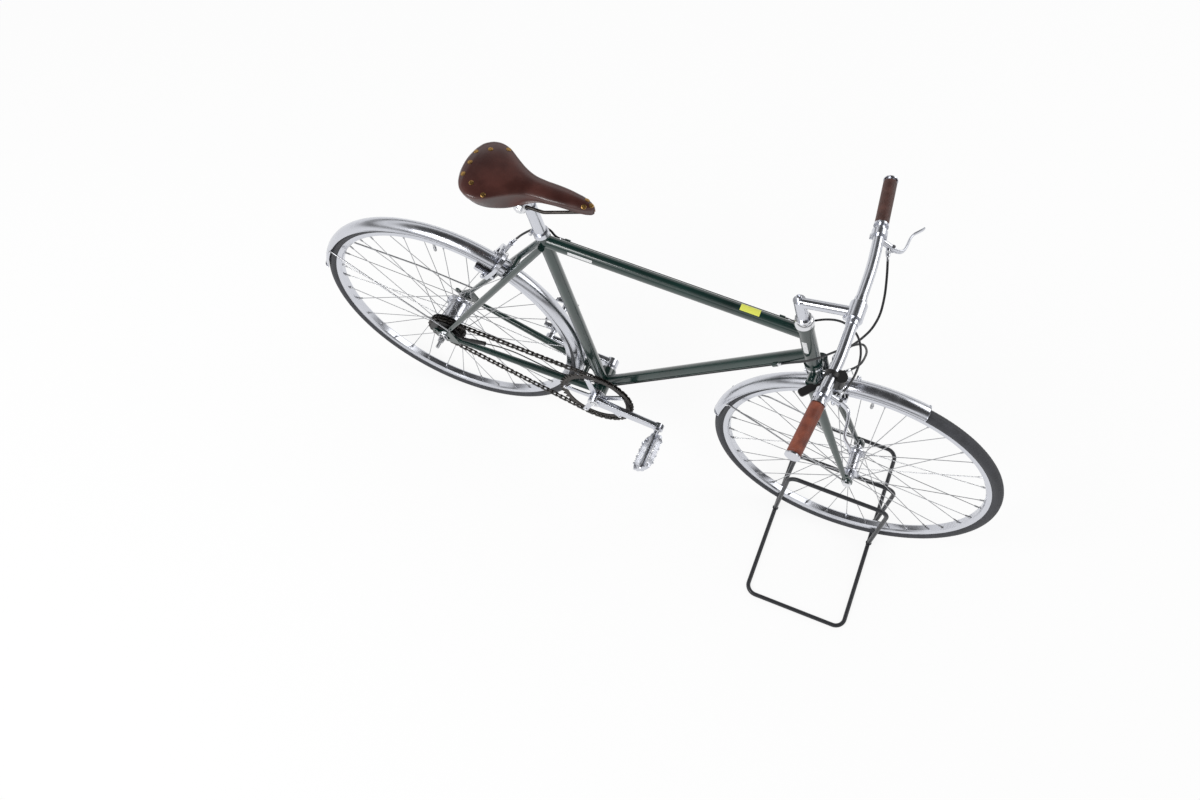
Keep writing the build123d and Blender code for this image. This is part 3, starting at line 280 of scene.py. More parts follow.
def gripLeather(name, tones):
    # stitched grip leather: reddish brown, its tone wandering at random; the two grips are a lit and a shaded
    # copy:
    #     # the right grip's paler, redder tones are painted light, the left grip's darker tones are painted
    #     shade
    material, shader = newFinish(name, {"Base Color": "#7c4130", "Roughness": 0.5, "IOR": 1.5})
    wear = grainHeight(material, 0.02, 4)
    addTones(material, shader, wear, list(zip((0.3, 0.55, 0.75), tones)))
    addShine(material, shader, wear, 0.4, 0.6)
    addPores(material, shader, 0.0012)
    return material


def powderCoat():
    # thick black powder coat over bent rod: satin, with a soft orange peel
    material, shader = newFinish("blackPowderCoat", {"Base Color": "#2a2b2f", "Roughness": 0.36, "IOR": 1.5})
    peel = grainHeight(material, 0.0025, 2)
    addShine(material, shader, peel, 0.3, 0.46)
    addBump(material, shader, peel.outputs["Fac"], 0.00006)
    return material


def cableJacket():
    # extruded cable jacket: smooth black with a soft shine
    material, shader = newFinish("extrudedCableJacket",
                                 {"Base Color": "#1c1d20", "Roughness": 0.34, "IOR": 1.5})
    scuff = grainHeight(material, 0.004, 3)
    addShine(material, shader, scuff, 0.26, 0.46)
    return material


def cutLeather():
    # the pale cut edge of thick tanned leather, burnished with wax
    material, shader = newFinish("burnishedLeatherEdge",
                                 {"Base Color": "#a9744a", "Roughness": 0.55, "IOR": 1.5})
    fibre = grainHeight(material, 0.003, 3)
    addTones(material, shader, fibre, [(0.35, "#8a5a36"), (0.65, "#bb8759")])
    addShine(material, shader, fibre, 0.48, 0.66)
    return material


def rivetBrass():
    # hammered brass rivets, dulled by handling
    material, shader = newFinish("hammeredBrass",
                                 {"Base Color": "#b88f52", "Metallic": 1.0, "Roughness": 0.32})
    dull = grainHeight(material, 0.002, 3)
    addTones(material, shader, dull, [(0.35, "#8d6838"), (0.65, "#cfa768")])
    addShine(material, shader, dull, 0.24, 0.44)
    addBump(material, shader, dull.outputs["Fac"], 0.00006)
    return material


def labelVinyl(name, tone):
    # blank vinyl label with a slight sheen
    material, shader = newFinish(name, {"Base Color": tone, "Roughness": 0.45, "IOR": 1.5})
    scuff = grainHeight(material, 0.004, 3)
    addShine(material, shader, scuff, 0.38, 0.55)
    return material


finishes = {
    "frame_paint": greenEnamel(), "polished_metal": polishedAluminium(), "chrome_metal": chromePlate(),
    "steel": drawnSteel(), "dark_steel": oiledSteel(), "tyre_rubber": curedRubber(),
    "black_rubber": blackRubber(), "black_plastic": blackNylon(), "saddle_hide": saddleLeather(),
    # left grip's leather: darker, greyer tones than the right grip's, painted shade
    "grip_hide": gripLeather("paintedShadeGripLeather", ("#402620", "#50312a", "#623f35")),
    "stand_coat": powderCoat(), "cable_jacket": cableJacket(),
}
for part in frame["record"]["subparts"]:
    for materialSlot in nodes[part["node"]].material_slots:
        materialSlot.material = finishes[part["material_slot"]]
print("finishes laid on", len(nodes), "parts")


# Shapes worked out as whole arrays: each gives (points, faces)
def gridFaces(rows, columns, wrapRows=False, wrapColumns=True):
    # four-sided faces between neighbouring rows and columns, joined round where the grid wraps
    row, column = np.meshgrid(np.arange(rows if wrapRows else rows - 1),
                              np.arange(columns if wrapColumns else columns - 1), indexing="ij")
    nextRow, nextColumn = (row + 1) % rows, (column + 1) % columns
    corners = (row * columns + column, row * columns + nextColumn,
               nextRow * columns + nextColumn, nextRow * columns + column)
    return np.stack(corners, axis=-1).reshape(-1, 4)


def sideways(axis):
    # two unit directions square to an axis and to each other
    axis = unit(axis)
    guide = np.array((0.0, 0.0, 1.0)) if abs(axis[2]) < 0.9 else np.array((1.0, 0.0, 0.0))
    first = unit(np.cross(guide, axis))
    return first, np.cross(axis, first)


def lathe(center, axis, outline, sides=24):
    # turned piece: point = center + axis * along + radius * (cos a * first + sin a * second)
    first, second = sideways(axis)
    radius, along = np.array(outline, float).T
    angle = np.arange(sides) * 2 * np.pi / sides
    ring = np.cos(angle)[:, None] * first + np.sin(angle)[:, None] * second
    points = center + along[:, None, None] * unit(axis) + radius[:, None, None] * ring[None]
    return points.reshape(-1, 3), gridFaces(len(radius), sides)


def tube(path, section, closed=False, guide=None):
    # section of (beside, above) points carried along a path; its width and height may change along it
    path = np.array(path, float)
    steps = len(path)
    if closed:
        forward = np.roll(path, -1, axis=0) - np.roll(path, 1, axis=0)
    else:
        forward = np.gradient(path, axis=0)
    forward /= np.linalg.norm(forward, axis=1)[:, None]
    beside = np.empty_like(path)
    beside[0] = sideways(forward[0])[0] if guide is None else unit(
        np.array(guide, float) - forward[0] * np.dot(guide, forward[0]))
    for step in range(1, steps):  # each frame is the last one laid over the new direction
        moved = beside[step - 1] - forward[step] * np.dot(beside[step - 1], forward[step])
        beside[step] = moved / np.linalg.norm(moved)
    if guide is not None:
        beside = np.array(guide, float) - forward * (forward @ np.array(guide, float))[:, None]
        beside /= np.linalg.norm(beside, axis=1)[:, None]
    above = np.cross(forward, beside)
    section = np.broadcast_to(np.array(section, float), (steps, *np.shape(section)[-2:]))
    points = path[:, None] + section[..., 0, None] * beside[:, None] + section[..., 1, None] * above[:, None]
    columns = points.shape[1]
    if closed:
        return points.reshape(-1, 3), gridFaces(steps, columns, wrapRows=True)
    caps = np.stack((points[0].mean(axis=0), points[-1].mean(axis=0)))
    points = np.concatenate((np.repeat(caps[:1], columns, axis=0)[None], points,
                             np.repeat(caps[1:], columns, axis=0)[None]))
    return points.reshape(-1, 3), gridFaces(steps + 2, columns)


def roundSection(radius, sides):
    # circle of points (radius * cos a, radius * sin a)
    angle = np.arange(sides) * 2 * np.pi / sides
    return radius * np.stack((np.cos(angle), np.sin(angle)), axis=-1)


def softPath(corners, steps):
    # curve made of parabolas that run from the middle of one side to the middle of the next
    corners = np.array(corners, float)
    middles = (corners[1:] + corners[:-1]) / 2
    share = np.linspace(0, 1, steps, endpoint=False)[None, :, None]
    start, corner, end = middles[:-1, None], corners[1:-1, None], middles[1:, None]
    curve = (1 - share) ** 2 * start + 2 * share * (1 - share) * corner + share ** 2 * end
    return np.concatenate((corners[:1], curve.reshape(-1, 3), middles[-1:], corners[-1:]))


def together(*shapes):
    # several (points, faces) as one
    offsets = np.cumsum([0] + [len(points) for points, faces in shapes[:-1]])
    return (np.concatenate([points for points, faces in shapes]),
            np.concatenate([faces + offset for (points, faces), offset in zip(shapes, offsets)]))


def makePiece(name, shape, slot, body, finish=None, crease=35, replaced=()):
    # a mesh whose doubles are merged and whose faces are turned outwards, riding on a body
    points, faces = shape
    mesh = bpy.data.meshes.new(name)
    mesh.from_pydata(points.tolist(), [], faces.tolist())
    welded = bmesh.new()
    welded.from_mesh(mesh)
    bmesh.ops.remove_doubles(welded, verts=welded.verts, dist=2e-6)
    bmesh.ops.recalc_face_normals(welded, faces=welded.faces)
    welded.to_mesh(mesh)
    welded.free()
    mesh.polygons.foreach_set("use_smooth", [True] * len(mesh.polygons))
    mesh.set_sharp_from_angle(angle=radians(crease))
    mesh.materials.append(finish or finishes[slot])
    piece = bpy.data.objects.new(name, mesh)
    bpy.context.scene.collection.objects.link(piece)
    if body:
        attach(piece, body)
    if replaced:
        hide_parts(*replaced)
    return piece


def boltHead(center, axis, radius, height, socket=0.0):
    # domed head with a bevelled rim, and a socket sunk in it
    dome = [(0, 0), (radius * 0.92, 0), (radius, height * 0.12), (radius, height * 0.6),
            (radius * 0.86, height * 0.85), (radius * 0.6, height)]
    if socket:
        dome += [(socket, height), (socket, height * 0.45), (0, height * 0.4)]
    else:
        dome += [(radius * 0.3, height * 1.05), (0, height * 1.07)]
    return lathe(center, axis, dome, 16)


def hexNut(center, axis, radius, height):
    # six-sided nut with chamfered corners
    return lathe(center, axis, [(0, 0), (radius * 0.9, 0), (radius, height * 0.15), (radius, height * 0.85),
                                (radius * 0.88, height), (0, height)], 6)


saddle = {"wall": 0.0042, "along": 120, "around": 48, "back": 0.0775, "nose": 0.358, "rivetRadius": 0.0052,
          "rivets": ((0.092, 0.0), (0.116, 0.045), (0.116, -0.045), (0.148, 0.061), (0.148, -0.061),
                     (0.091, 0.03), (0.091, -0.03), (0.338, 0.009), (0.338, -0.009), (0.350, 0.0))}
saddleStations = np.array([  # ahead, half widths at shoulder and skirt, heights of crown and hem, in mm
    (77.5, 14, 11, 964, 957), (80, 26, 20, 970.5, 956), (84, 39, 31, 974, 954), (92, 55, 44, 976.5, 951),
    (105, 67, 55, 978, 949), (125, 73, 65, 979, 945), (148, 68, 63, 979, 939), (174, 51, 52, 978.5, 934),
    (196, 37, 44, 978, 938), (220, 27, 36, 977.5, 950), (245, 23.5, 28, 977.5, 960),
    (274, 22.5, 24, 977.5, 963), (310, 19.5, 21, 977, 962), (335, 15.5, 17, 975, 958),
    (349, 10, 11.5, 972, 955), (356, 5, 6.5, 968, 953.5), (358, 2, 3, 964, 953)]) / 1000


def smoothTable(where, places, values):
    # cubic through a table, with the slope at each entry taken from its neighbours
    slopes = np.gradient(values, places, axis=0)
    entry = np.clip(np.searchsorted(places, where) - 1, 0, len(places) - 2)
    width = places[entry + 1] - places[entry]
    share = ((where - places[entry]) / width)[:, None]
    width = width[:, None]
    return (values[entry] * (1 + 2 * share) * (1 - share) ** 2
            + slopes[entry] * width * share * (1 - share) ** 2
            + values[entry + 1] * share ** 2 * (3 - 2 * share)
            + slopes[entry + 1] * width * share ** 2 * (share - 1))


def saddlePoint(ahead, lean):
    # lean from 0 at the crown to 1 at the hem, signed for the side: a quarter oval over the top, then a skirt
    # that draws in towards the hem
    shoulder, skirt, crown, hem = smoothTable(ahead, saddleStations[:, 0], saddleStations[:, 1:]).T
    side = np.sign(lean)
    far = np.abs(lean)
    over = np.clip(far / 0.6, 0, 1)
    down = np.clip((far - 0.6) / 0.4, 0, 1)
    drop = np.minimum(0.0095, (crown - hem) * 0.6)
    aside = shoulder * np.sin(over * np.pi / 2) + (skirt - shoulder) * down ** 2
    height = crown - drop * (1 - np.cos(over * np.pi / 2)) - (crown - drop - hem) * down
    dip = 0.0016 * np.exp(-((ahead - 0.245) / 0.05) ** 2) * (1 - over ** 2)
    return np.stack((rearAxle[0] + ahead, side * aside, height - dip), axis=-1)


def makeSaddle():
    # leather top: a grid of saddlePoint, thickened inwards, with a pale cut edge
    count, around = saddle["along"], saddle["around"] + 1
    share = np.linspace(0, 1, count)
    ahead = saddle["back"] + (saddle["nose"] - saddle["back"]) * (0.5 - 0.5 * np.cos(np.pi * share))
    lean = np.linspace(-1, 1, around)
    aheadGrid, leanGrid = [grid.ravel() for grid in np.meshgrid(ahead, lean, indexing="ij")]
    points = saddlePoint(aheadGrid, leanGrid)
    faces = gridFaces(count, around, wrapColumns=False)
    top = makePiece("leather_top", (points, faces), "saddle_hide", "frame", crease=80,
                    replaced=["saddle_leather"])
    if sum(polygon.normal.z * polygon.area for polygon in top.data.polygons) < 0:
        top.data.flip_normals()
    top.data.materials.append(cutLeather())
    wall = top.modifiers.new("wall", "SOLIDIFY")
    wall.thickness = saddle["wall"]
    wall.offset = -1
    wall.material_offset_rim = 1
    # rivets sit square to the leather
    rivets = []
    for place, aside in saddle["rivets"]:
        shoulder = smoothTable(np.array([place]), saddleStations[:, 0], saddleStations[:, 1:])[0][0]
        lean = 0.6 * np.arcsin(np.clip(aside / shoulder, -1, 1)) / (np.pi / 2)
        places = np.array([place, place + 0.002, place])
        here, further, beside = saddlePoint(places, np.array([lean, lean, lean + 0.02]) + 1e-9)
        outward = unit(np.cross(further - here, beside - here))
        outward = outward if outward[2] > 0 else -outward
        rivets.append(boltHead(here - outward * 0.0004, outward, saddle["rivetRadius"], 0.0012))
    makePiece("saddle_rivets", together(*rivets), "saddle_hide", "frame", finish=rivetBrass())


makeSaddle()
print("saddle made")

tyre = {"steps": 960, "around": 36, "middle": 0.3255, "round": 0.015, "waist": 80, "wrap": 118,
        "ribDepth": 0.0007, "sipeDepth": 0.0008, "pitch": 0.0089}


def makeTyre(name, center, node, body):
    # section: a round over the tread, drawn in to the rim; grooves are cut where two waves meet
    steps, around = tyre["steps"], tyre["around"]
    turn = np.arange(steps) * 2 * np.pi / steps
    wrap = tyre["wrap"]
    outer = np.linspace(-wrap, wrap, around - 4)
    radial = tyre["middle"] + tyre["round"] * np.cos(np.radians(outer))
    aside = tyre["round"] * np.sin(np.radians(outer))
    narrow = np.clip((np.abs(outer) - tyre["waist"]) / (wrap - tyre["waist"]), 0, 1)
    aside *= 1 - 0.24 * narrow ** 2
    radial = np.concatenate((radial, [0.3176, 0.3112, 0.3112, 0.3176]))
    aside = np.concatenate((aside, [0.0099, 0.0085, -0.0085, -0.0099]))
    lean = np.concatenate((outer, [150, 170, -170, -150]))
    turnGrid, leanGrid = np.meshgrid(turn, lean, indexing="ij")
    teeth = round(2 * np.pi * (tyre["middle"] + tyre["round"]) / tyre["pitch"])
    wave = np.cos(teeth * turnGrid + np.sign(leanGrid) * np.radians(np.abs(leanGrid)) * 3.2)
    shoulder = np.exp(-((np.abs(leanGrid) - 40) / 17) ** 2)
    sipe = np.clip((wave - 0.35) * 2.2, 0, 1) * shoulder
    ribs = np.exp(-((np.abs(leanGrid) - 11) / 3.6) ** 2)
    depth = tyre["sipeDepth"] * sipe + tyre["ribDepth"] * ribs * (1 - sipe)
    inward = np.radians(np.clip(leanGrid, -wrap, wrap))
    reach = radial[None] - depth * np.cos(inward)
    side = aside[None] - depth * np.sin(inward)
    points = np.stack((center[0] + reach * np.cos(turnGrid), center[1] + side,
                       center[2] + reach * np.sin(turnGrid)), axis=-1)
    makePiece(name, (points.reshape(-1, 3), gridFaces(steps, around, wrapRows=True)), "tyre_rubber", body,
              crease=60, replaced=[node])


makeTyre("front_tread", frontAxle, "front_tyre", "front_wheel")
makeTyre("rear_tread", rearAxle, "rear_tyre", "rear_wheel")
print("tyres made")

wheel = {"rimInner": 0.3033, "nippleLength": 0.0125, "nippleRadius": 0.0021, "valveLength": 0.036}


def makeWheelTrim(name, center, body, holeRadius, flanges):
    # steel nipples that follow each spoke's line out of the rim, and the valve between two spokes
    nipples = []
    for flange, first in zip(flanges, (0.0, 10.0)):
        side = 1 if flange > 0 else -1
        for number in range(18):
            outside = number % 2
            hubAngle = radians(first + 20 * number)
            rimAngle = hubAngle + radians(60 if outside else -60)
            rim = center + wheel["rimInner"] * np.array((cos(rimAngle), 0, sin(rimAngle)))
            rim[1] = side * (0.0032 if outside else 0.0014)
            hub = center + holeRadius * np.array((cos(hubAngle), 0, sin(hubAngle)))
            hub[1] = flange
            length, radius = wheel["nippleLength"], wheel["nippleRadius"]
            nipples.append(lathe(rim, hub - rim, [(0, -0.001), (radius, -0.001), (radius, length * 0.8),
                                                  (radius * 0.75, length), (0, length)], 8))
            eyelet = [(0, -0.0012), (0.0036, -0.001), (0.0042, 0.0004), (0, 0.0004)]
            nipples.append(lathe(rim, unit(rim - center), eyelet, 10))
    makePiece(name + "_nipples", together(*nipples), "steel", body)
    valveOut = np.array((cos(radians(95)), 0, sin(radians(95))))
    foot = center + valveOut * wheel["rimInner"]
    stem = lathe(foot, -valveOut, [
        (0, -0.002), (0.0062, -0.002), (0.0062, 0.0018), (0.0031, 0.002), (0.0031, 0.024), (0.0038, 0.024),
        (0.0038, 0.033), (0.0028, wheel["valveLength"]), (0, wheel["valveLength"])], 14)
    makePiece(name + "_valve", stem, "steel", body)


makeWheelTrim("front", frontAxle, "front_wheel", 0.019, (0.028, -0.028))
makeWheelTrim("rear", rearAxle, "rear_wheel", 0.033, (0.033, -0.027))
print("wheels trimmed")

grip = {"start": 0.2183, "end": 0.328, "radius": 0.0142, "ribPitch": 0.0036, "ribHeight": 0.0007,
        "seamWidth": 0.003, "seamHeight": 0.0006, "bore": 0.0113, "sides": 64}


def makeGrip(side, node, finish):
    # leather sleeve: radius + rib wave along it, with a raised lapped seam that runs its whole length
    start, end = onBar(side, grip["start"]), onBar(side, grip["end"])
    length = np.linalg.norm(end - start)
    rows = int(length / grip["ribPitch"]) * 6
    along = np.linspace(0, length, rows)
    angle = np.arange(grip["sides"]) * 2 * np.pi / grip["sides"]
    ribs = grip["ribHeight"] * np.abs(np.sin(np.pi * along / grip["ribPitch"])) ** 0.7
    edge = 0.0012 * np.clip(1 - np.minimum(along, length - along) / 0.003, 0, 1)
    radius = grip["radius"] - grip["ribHeight"] + (ribs - edge)[:, None] + 0 * angle
    fromSeam = np.angle(np.exp(1j * (angle - 2.2))) * grip["radius"]
    radius = radius + grip["seamHeight"] * np.exp(-(fromSeam / grip["seamWidth"]) ** 2)
    first, second = sideways(end - start)
    ring = np.cos(angle)[:, None] * first + np.sin(angle)[:, None] * second
    points = start + along[:, None, None] * unit(end - start) + radius[..., None] * ring[None]
    inner = start + np.array((length, 0.0))[:, None, None] * unit(end - start) + grip["bore"] * ring[None]
    points = np.concatenate((points, inner))
    sleeve = (points.reshape(-1, 3), gridFaces(rows + 2, grip["sides"], wrapRows=True))
    makePiece(node + "_sleeve", sleeve, "grip_hide", "steering", crease=70, replaced=[node],
              finish=finish)


# left grip: the darker tones, painted shade
makeGrip(1, "left_grip", finishes["grip_hide"])
# right grip: paler, redder tones than the left, painted light
makeGrip(-1, "right_grip", gripLeather("paintedLightGripLeather", ("#5e2a1d", "#7f402c", "#94543a")))
print("grips made")

lever = {"clampPlace": 0.193, "pinRadius": 0.0042, "bladeHeight": 0.0062, "bladeThick": 0.0026}


def barrelMouth(side):
    # where a lever's barrel starts, the line it points along, and the clamp and bar that it sits on
    clamp = onBar(side, lever["clampPlace"])
    outward = unit(onBar(side, bar["end"]) - clamp)
    return clamp - outward * 0.007 + np.array((0.024, 0, -0.017)), unit((6, -side * 18, -7)), clamp, outward


def makeLever(side, node):
    # blade: a flattened oval along its curve, wide at the pivot, waisted, and rounded into a hooked tip
    mouth, barrel, clamp, outward = barrelMouth(side)
    pivot = clamp - outward * 0.007 + np.array((0.034, 0, -0.020))
    offsets = np.array([(-0.004, -2, 0.001), (0.010, 0, -0.004), (0.021, 6, -0.008), (0.0245, 20, -0.0095),
                        (0.026, 36, -0.0115), (0.027, 50, -0.013), (0.031, 62, -0.0135), (0.039, 71, -0.0125),
                        (0.046, 79, -0.0105), (0.0475, 84, -0.0095)])
    offsets[:, 1] *= side / 1000
    path = softPath(pivot + offsets, 7)
    share = np.linspace(0, 1, len(path))
    height = lever["bladeHeight"] * (1.08 - 0.45 * np.exp(-((share - 0.55) / 0.25) ** 2))
    thick = lever["bladeThick"] * (1.25 - 0.3 * share)
    endRound = np.sqrt(np.clip(1 - np.clip((share - 0.965) / 0.035, 0, 1) ** 2, 0.04, 1))
    angle = np.arange(20) * 2 * np.pi / 20
    section = np.stack((thick[:, None] * endRound[:, None] * np.cos(angle),
                        height[:, None] * endRound[:, None] * np.sin(angle)), axis=-1)
    # the blade stands upright: its wide side is square to the way it curves
    upward = np.array((0.12, 0.0, 0.99))
    blade = tube(path, section[..., ::-1], guide=upward)
    pinRadius = lever["pinRadius"]
    pin = lathe(pivot + np.array((0, 0, -0.0085)), (0, 0, 1), [
        (0, 0), (pinRadius, 0), (pinRadius + 0.001, 0.0012), (pinRadius, 0.0024), (0.003, 0.0026),
        (0.003, 0.0155), (pinRadius, 0.0157), (pinRadius, 0.0168), (0, 0.0172)], 18)
    makePiece(node + "_blade", together(blade, pin), "polished_metal", "steering", crease=40, replaced=[node])
    # clamp bolt under the band, and the housing's ferrule at the barrel's mouth
    bolt = boltHead(clamp + np.array((-0.0135, 0, -0.0125)) - outward * 0.006, outward, 0.0036, 0.013, 0.0016)
    knurl = [(0.0036, 0.010), (0.0058, 0.0103), (0.0054, 0.0112), (0.0058, 0.0121), (0.0054, 0.013),
             (0.0058, 0.0139), (0.0054, 0.0148), (0.0058, 0.0157), (0.0036, 0.016), (0.0036, 0.0225),
             (0.003, 0.0235), (0, 0.0235)]
    adjuster = lathe(mouth, barrel, [(0, 0.010)] + knurl, 20)
    makePiece(node + "_fittings", together(bolt, adjuster), "chrome_metal", "steering")


makeLever(1, "left_brake_lever")
makeLever(-1, "right_brake_lever")
print("levers made")

cable = {"radius": 0.0023, "sides": 12, "ferruleRadius": 0.0034, "ferruleLength": 0.011}
topTubeHeight = (steeringFoot + headUp * 0.501)[2]
downTubeFront = onSteering(0.431)
downTubeLine = unit(downTubeFront - bracket)


def makeHousing(name, corners, node):
    # jacketed cable along its corners, which bends between the handlebar and the frame
    path = softPath(corners, 10)
    jacket = tube(path, roundSection(cable["radius"], cable["sides"]))
    piece = makePiece(name, jacket, "cable_jacket", None, replaced=[node])
    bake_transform(piece)


def ferrule(mouth, line):
    # metal end cap pushed over a cable's jacket
    radius, length = cable["ferruleRadius"], cable["ferruleLength"]
    return lathe(mouth, line, [
        (0, -0.0004), (radius * 0.9, -0.0004), (radius, 0.0006), (radius, length * 0.7),
        (radius * 0.86, length), (cable["radius"], length * 1.02), (0, length * 1.02)], 14)


def barrelEnd(side):
    mouth, line = barrelMouth(side)[:2]
    return mouth + line * 0.0203, line


topStop = spot(0.7713, 0.017, topTubeHeight)
rightEnd, rightLine = barrelEnd(-1)
leftEnd, leftLine = barrelEnd(1)
brakeCorners = [rightEnd, rightEnd + rightLine * 0.038, spot(0.936, -0.090, 0.880),
                spot(0.932, -0.046, 0.876), spot(0.914, -0.007, 0.871), spot(0.880, 0.020, 0.855),
                spot(0.843, 0.027, 0.828), topStop + np.array((0.033, 0, 0)), topStop]
makeHousing("rear_brake_jacket", brakeCorners, "rear_brake_housing")
nozzleLine = unit((5, 6, -1))
nozzleEnd = onBar(-1, 0.150) + np.array((0.015, 0.012, 0)) + nozzleLine * 0.0083
downStop = bracket + downTubeLine * 0.5533 - acrossLine * 0.017
shiftCorners = [nozzleEnd, nozzleEnd + nozzleLine * 0.034, spot(0.940, -0.073, 0.902),
                spot(0.941, -0.042, 0.880), spot(0.930, -0.016, 0.859), spot(0.906, -0.018, 0.831),
                spot(0.883, -0.023, 0.799), spot(0.862, -0.026, 0.767), spot(0.840, -0.025, 0.736),
                downStop + downTubeLine * 0.033, downStop]
makeHousing("shift_jacket", shiftCorners, "shift_housing")
leanLine = unit(headUp * 0.024 + headForward * 0.020)
frontMouth = onSteering(0.420, 0.057, 0.024)
seatstayTop = spot(0.248, 0, topTubeHeight - 0.006)
stayUp = unit(seatstayTop - rearAxle)
stayBack = np.array((-stayUp[2], 0, stayUp[0]))
rearMouth = rearAxle + stayUp * 0.416 + stayBack * 0.037 + acrossLine * 0.024
steeringFerrules = together(ferrule(leftEnd, leftLine), ferrule(rightEnd, rightLine),
                            ferrule(frontMouth, leanLine), ferrule(nozzleEnd, nozzleLine))
makePiece("bar_ferrules", steeringFerrules, "chrome_metal", "steering")
frameFerrules = together(ferrule(topStop, (1, 0, 0)), ferrule(spot(0.2877, 0.017, topTubeHeight), (-1, 0, 0)),
                         ferrule(rearMouth, stayUp), ferrule(downStop, downTubeLine))
makePiece("frame_ferrules", frameFerrules, "chrome_metal", "frame")
print("cables laid")

pedal = {"inner": 0.0885, "outer": 0.1865, "length": 0.066, "railHigh": 0.0052, "railThick": 0.0019,
         "stud": 0.0026, "steps": 240}


def oblong(count, power):
    # superellipse: (size * cos a, size * sin a), where size = (|cos a|^power + |sin a|^power)^(-1 / power)
    turn = np.arange(count) * 2 * np.pi / count
    size = (np.abs(np.cos(turn)) ** power + np.abs(np.sin(turn)) ** power) ** (-1 / power)
    return size * np.cos(turn), size * np.sin(turn)


def makePedal(side, forward, tilt, node):
    # cage: a flat band carried round a rounded oblong, its edge cut into teeth, on a waisted barrel
    pivot = bracket + np.array((forward * crankLength, 0, 0))
    out = acrossLine * side
    ahead = np.array((cos(radians(tilt)), 0, sin(radians(tilt))))
    up = np.array((-sin(radians(tilt)), 0, cos(radians(tilt))))
    middle = pivot + out * (pedal["inner"] + pedal["outer"]) / 2
    halfOut, halfAhead = (pedal["outer"] - pedal["inner"]) / 2 - 0.003, pedal["length"] / 2 - 0.003
    along, beside = oblong(pedal["steps"], 5)
    ring = middle + (halfOut * along)[:, None] * out + (halfAhead * beside)[:, None] * ahead
    onRail = np.clip((np.abs(beside) - 0.93) * 30, 0, 1)
    teeth = 0.0011 * np.clip(np.sin(along * halfOut / 0.0068 * 2 * np.pi) * 3, -1, 1) * onRail
    high = pedal["railHigh"] + 0.0012 * onRail + teeth
    thick = pedal["railThick"]
    bevelled = ((-1, -0.9), (-0.7, -1), (0.7, -1), (1, -0.9), (1, 0.9), (0.7, 1), (-0.7, 1), (-1, 0.9))
    section = np.stack([np.stack((x * thick * np.ones_like(high), y * high), axis=-1) for x, y in bevelled],
                       axis=1)
    forwardLine = np.roll(ring, -1, axis=0) - np.roll(ring, 1, axis=0)
    forwardLine /= np.linalg.norm(forwardLine, axis=1)[:, None]
    outwardLine = np.cross(forwardLine, up)
    points = ring[:, None] + section[..., 0, None] * outwardLine[:, None] + section[..., 1, None] * up
    shapes = [(points.reshape(-1, 3), gridFaces(pedal["steps"], 8, wrapRows=True))]
    start, length = pedal["inner"], pedal["outer"] - pedal["inner"]
    shapes.append(lathe(pivot + out * start, out, [
        (0.0049, -0.001), (0.0098, -0.001), (0.0105, 0.002), (0.0105, 0.012), (0.008, 0.018),
        (0.0072, length * 0.5), (0.0078, length - 0.02), (0.0095, length - 0.014), (0.0095, length - 0.004),
        (0.0078, length - 0.001), (0.004, length), (0, length)], 24))
    for share in (0.1, 0.9):  # flat arms from the barrel to the two rails
        arm = pivot + out * (start + length * share)
        for edge in (1, -1):
            line = np.array([arm + ahead * edge * 0.006, arm + ahead * edge * halfAhead])
            line = line[0] + (line[1] - line[0]) * np.linspace(0, 1, 6)[:, None]
            flat = np.array([(-0.0045, -0.0026), (0.0045, -0.0026), (0.0045, 0.0026), (-0.0045, 0.0026)])
            shapes.append(tube(line, flat, guide=out))
    for edge in (1, -1):
        for number in range(4):
            for face in (1, -1):
                place = pivot + out * (start + length * (0.2 + 0.2 * number)) + ahead * edge * halfAhead
                shapes.append(lathe(place + up * face * 0.0058, up * face, [
                    (0, 0), (pedal["stud"], 0), (pedal["stud"], 0.0022), (pedal["stud"] * 0.7, 0.003),
                    (0, 0.003)], 10))
    makePiece(node + "_cage", together(*shapes), "polished_metal", node, crease=30, replaced=[node])


makePedal(-1, 1, 55, "right_pedal")
makePedal(1, -1, 0, "left_pedal")
print("pedals made")

driveTrim = {"ringBolts": 5, "ringBoltRadius": 0.0815}


def makeDriveTrim():
    # chainring bolts on the spider's arms, spindle bolts in the crank ends and wrench flats by the pedals
    shapes = []
    for number in range(driveTrim["ringBolts"]):
        turn = radians(36 + 72 * number)
        place = bracket + driveTrim["ringBoltRadius"] * np.array((cos(turn), 0, sin(turn)))
        shapes.append(boltHead(place - acrossLine * 0.0504, -acrossLine, 0.0046, 0.0022, 0.0021))
    for side in (1, -1):
        cap = bracket + acrossLine * side * 0.0648
        shapes.append(lathe(cap, acrossLine * side, [
            (0, 0), (0.0135, 0), (0.0135, 0.0012), (0.012, 0.002), (0.0085, 0.002), (0.0078, 0.0002),
            (0, 0.0002)], 30))
        shapes.append(hexNut(cap, acrossLine * side, 0.0072, 0.0026))
        forward = 1 if side < 0 else -1
        end = bracket + np.array((forward * crankLength, side * 0.0704, 0))
        shapes.append(hexNut(end, acrossLine * side, 0.0088, 0.006))
    makePiece("crank_bolts", together(*shapes), "chrome_metal", "crank")


makeDriveTrim()


def nuts(center, reach, radius):
    # hexagon nut outside each dropout, with a washer behind it
    shapes = []
    for side in (1, -1):
        face = center + acrossLine * side * reach
        washer = [(0, 0), (radius * 1.25, 0), (radius * 1.25, 0.0012), (0, 0.0012)]
        shapes.append(lathe(face, acrossLine * side, washer, 28))
        shapes.append(hexNut(face + acrossLine * side * 0.0012, acrossLine * side, radius * 1.15, 0.0066))
    return together(*shapes)


makePiece("front_axle_nuts", nuts(frontAxle, 0.0552, 0.0085), "chrome_metal", "steering")
makePiece("rear_axle_nuts", nuts(rearAxle, 0.0652, 0.0095), "chrome_metal", "frame")
print("nuts and bolts made")

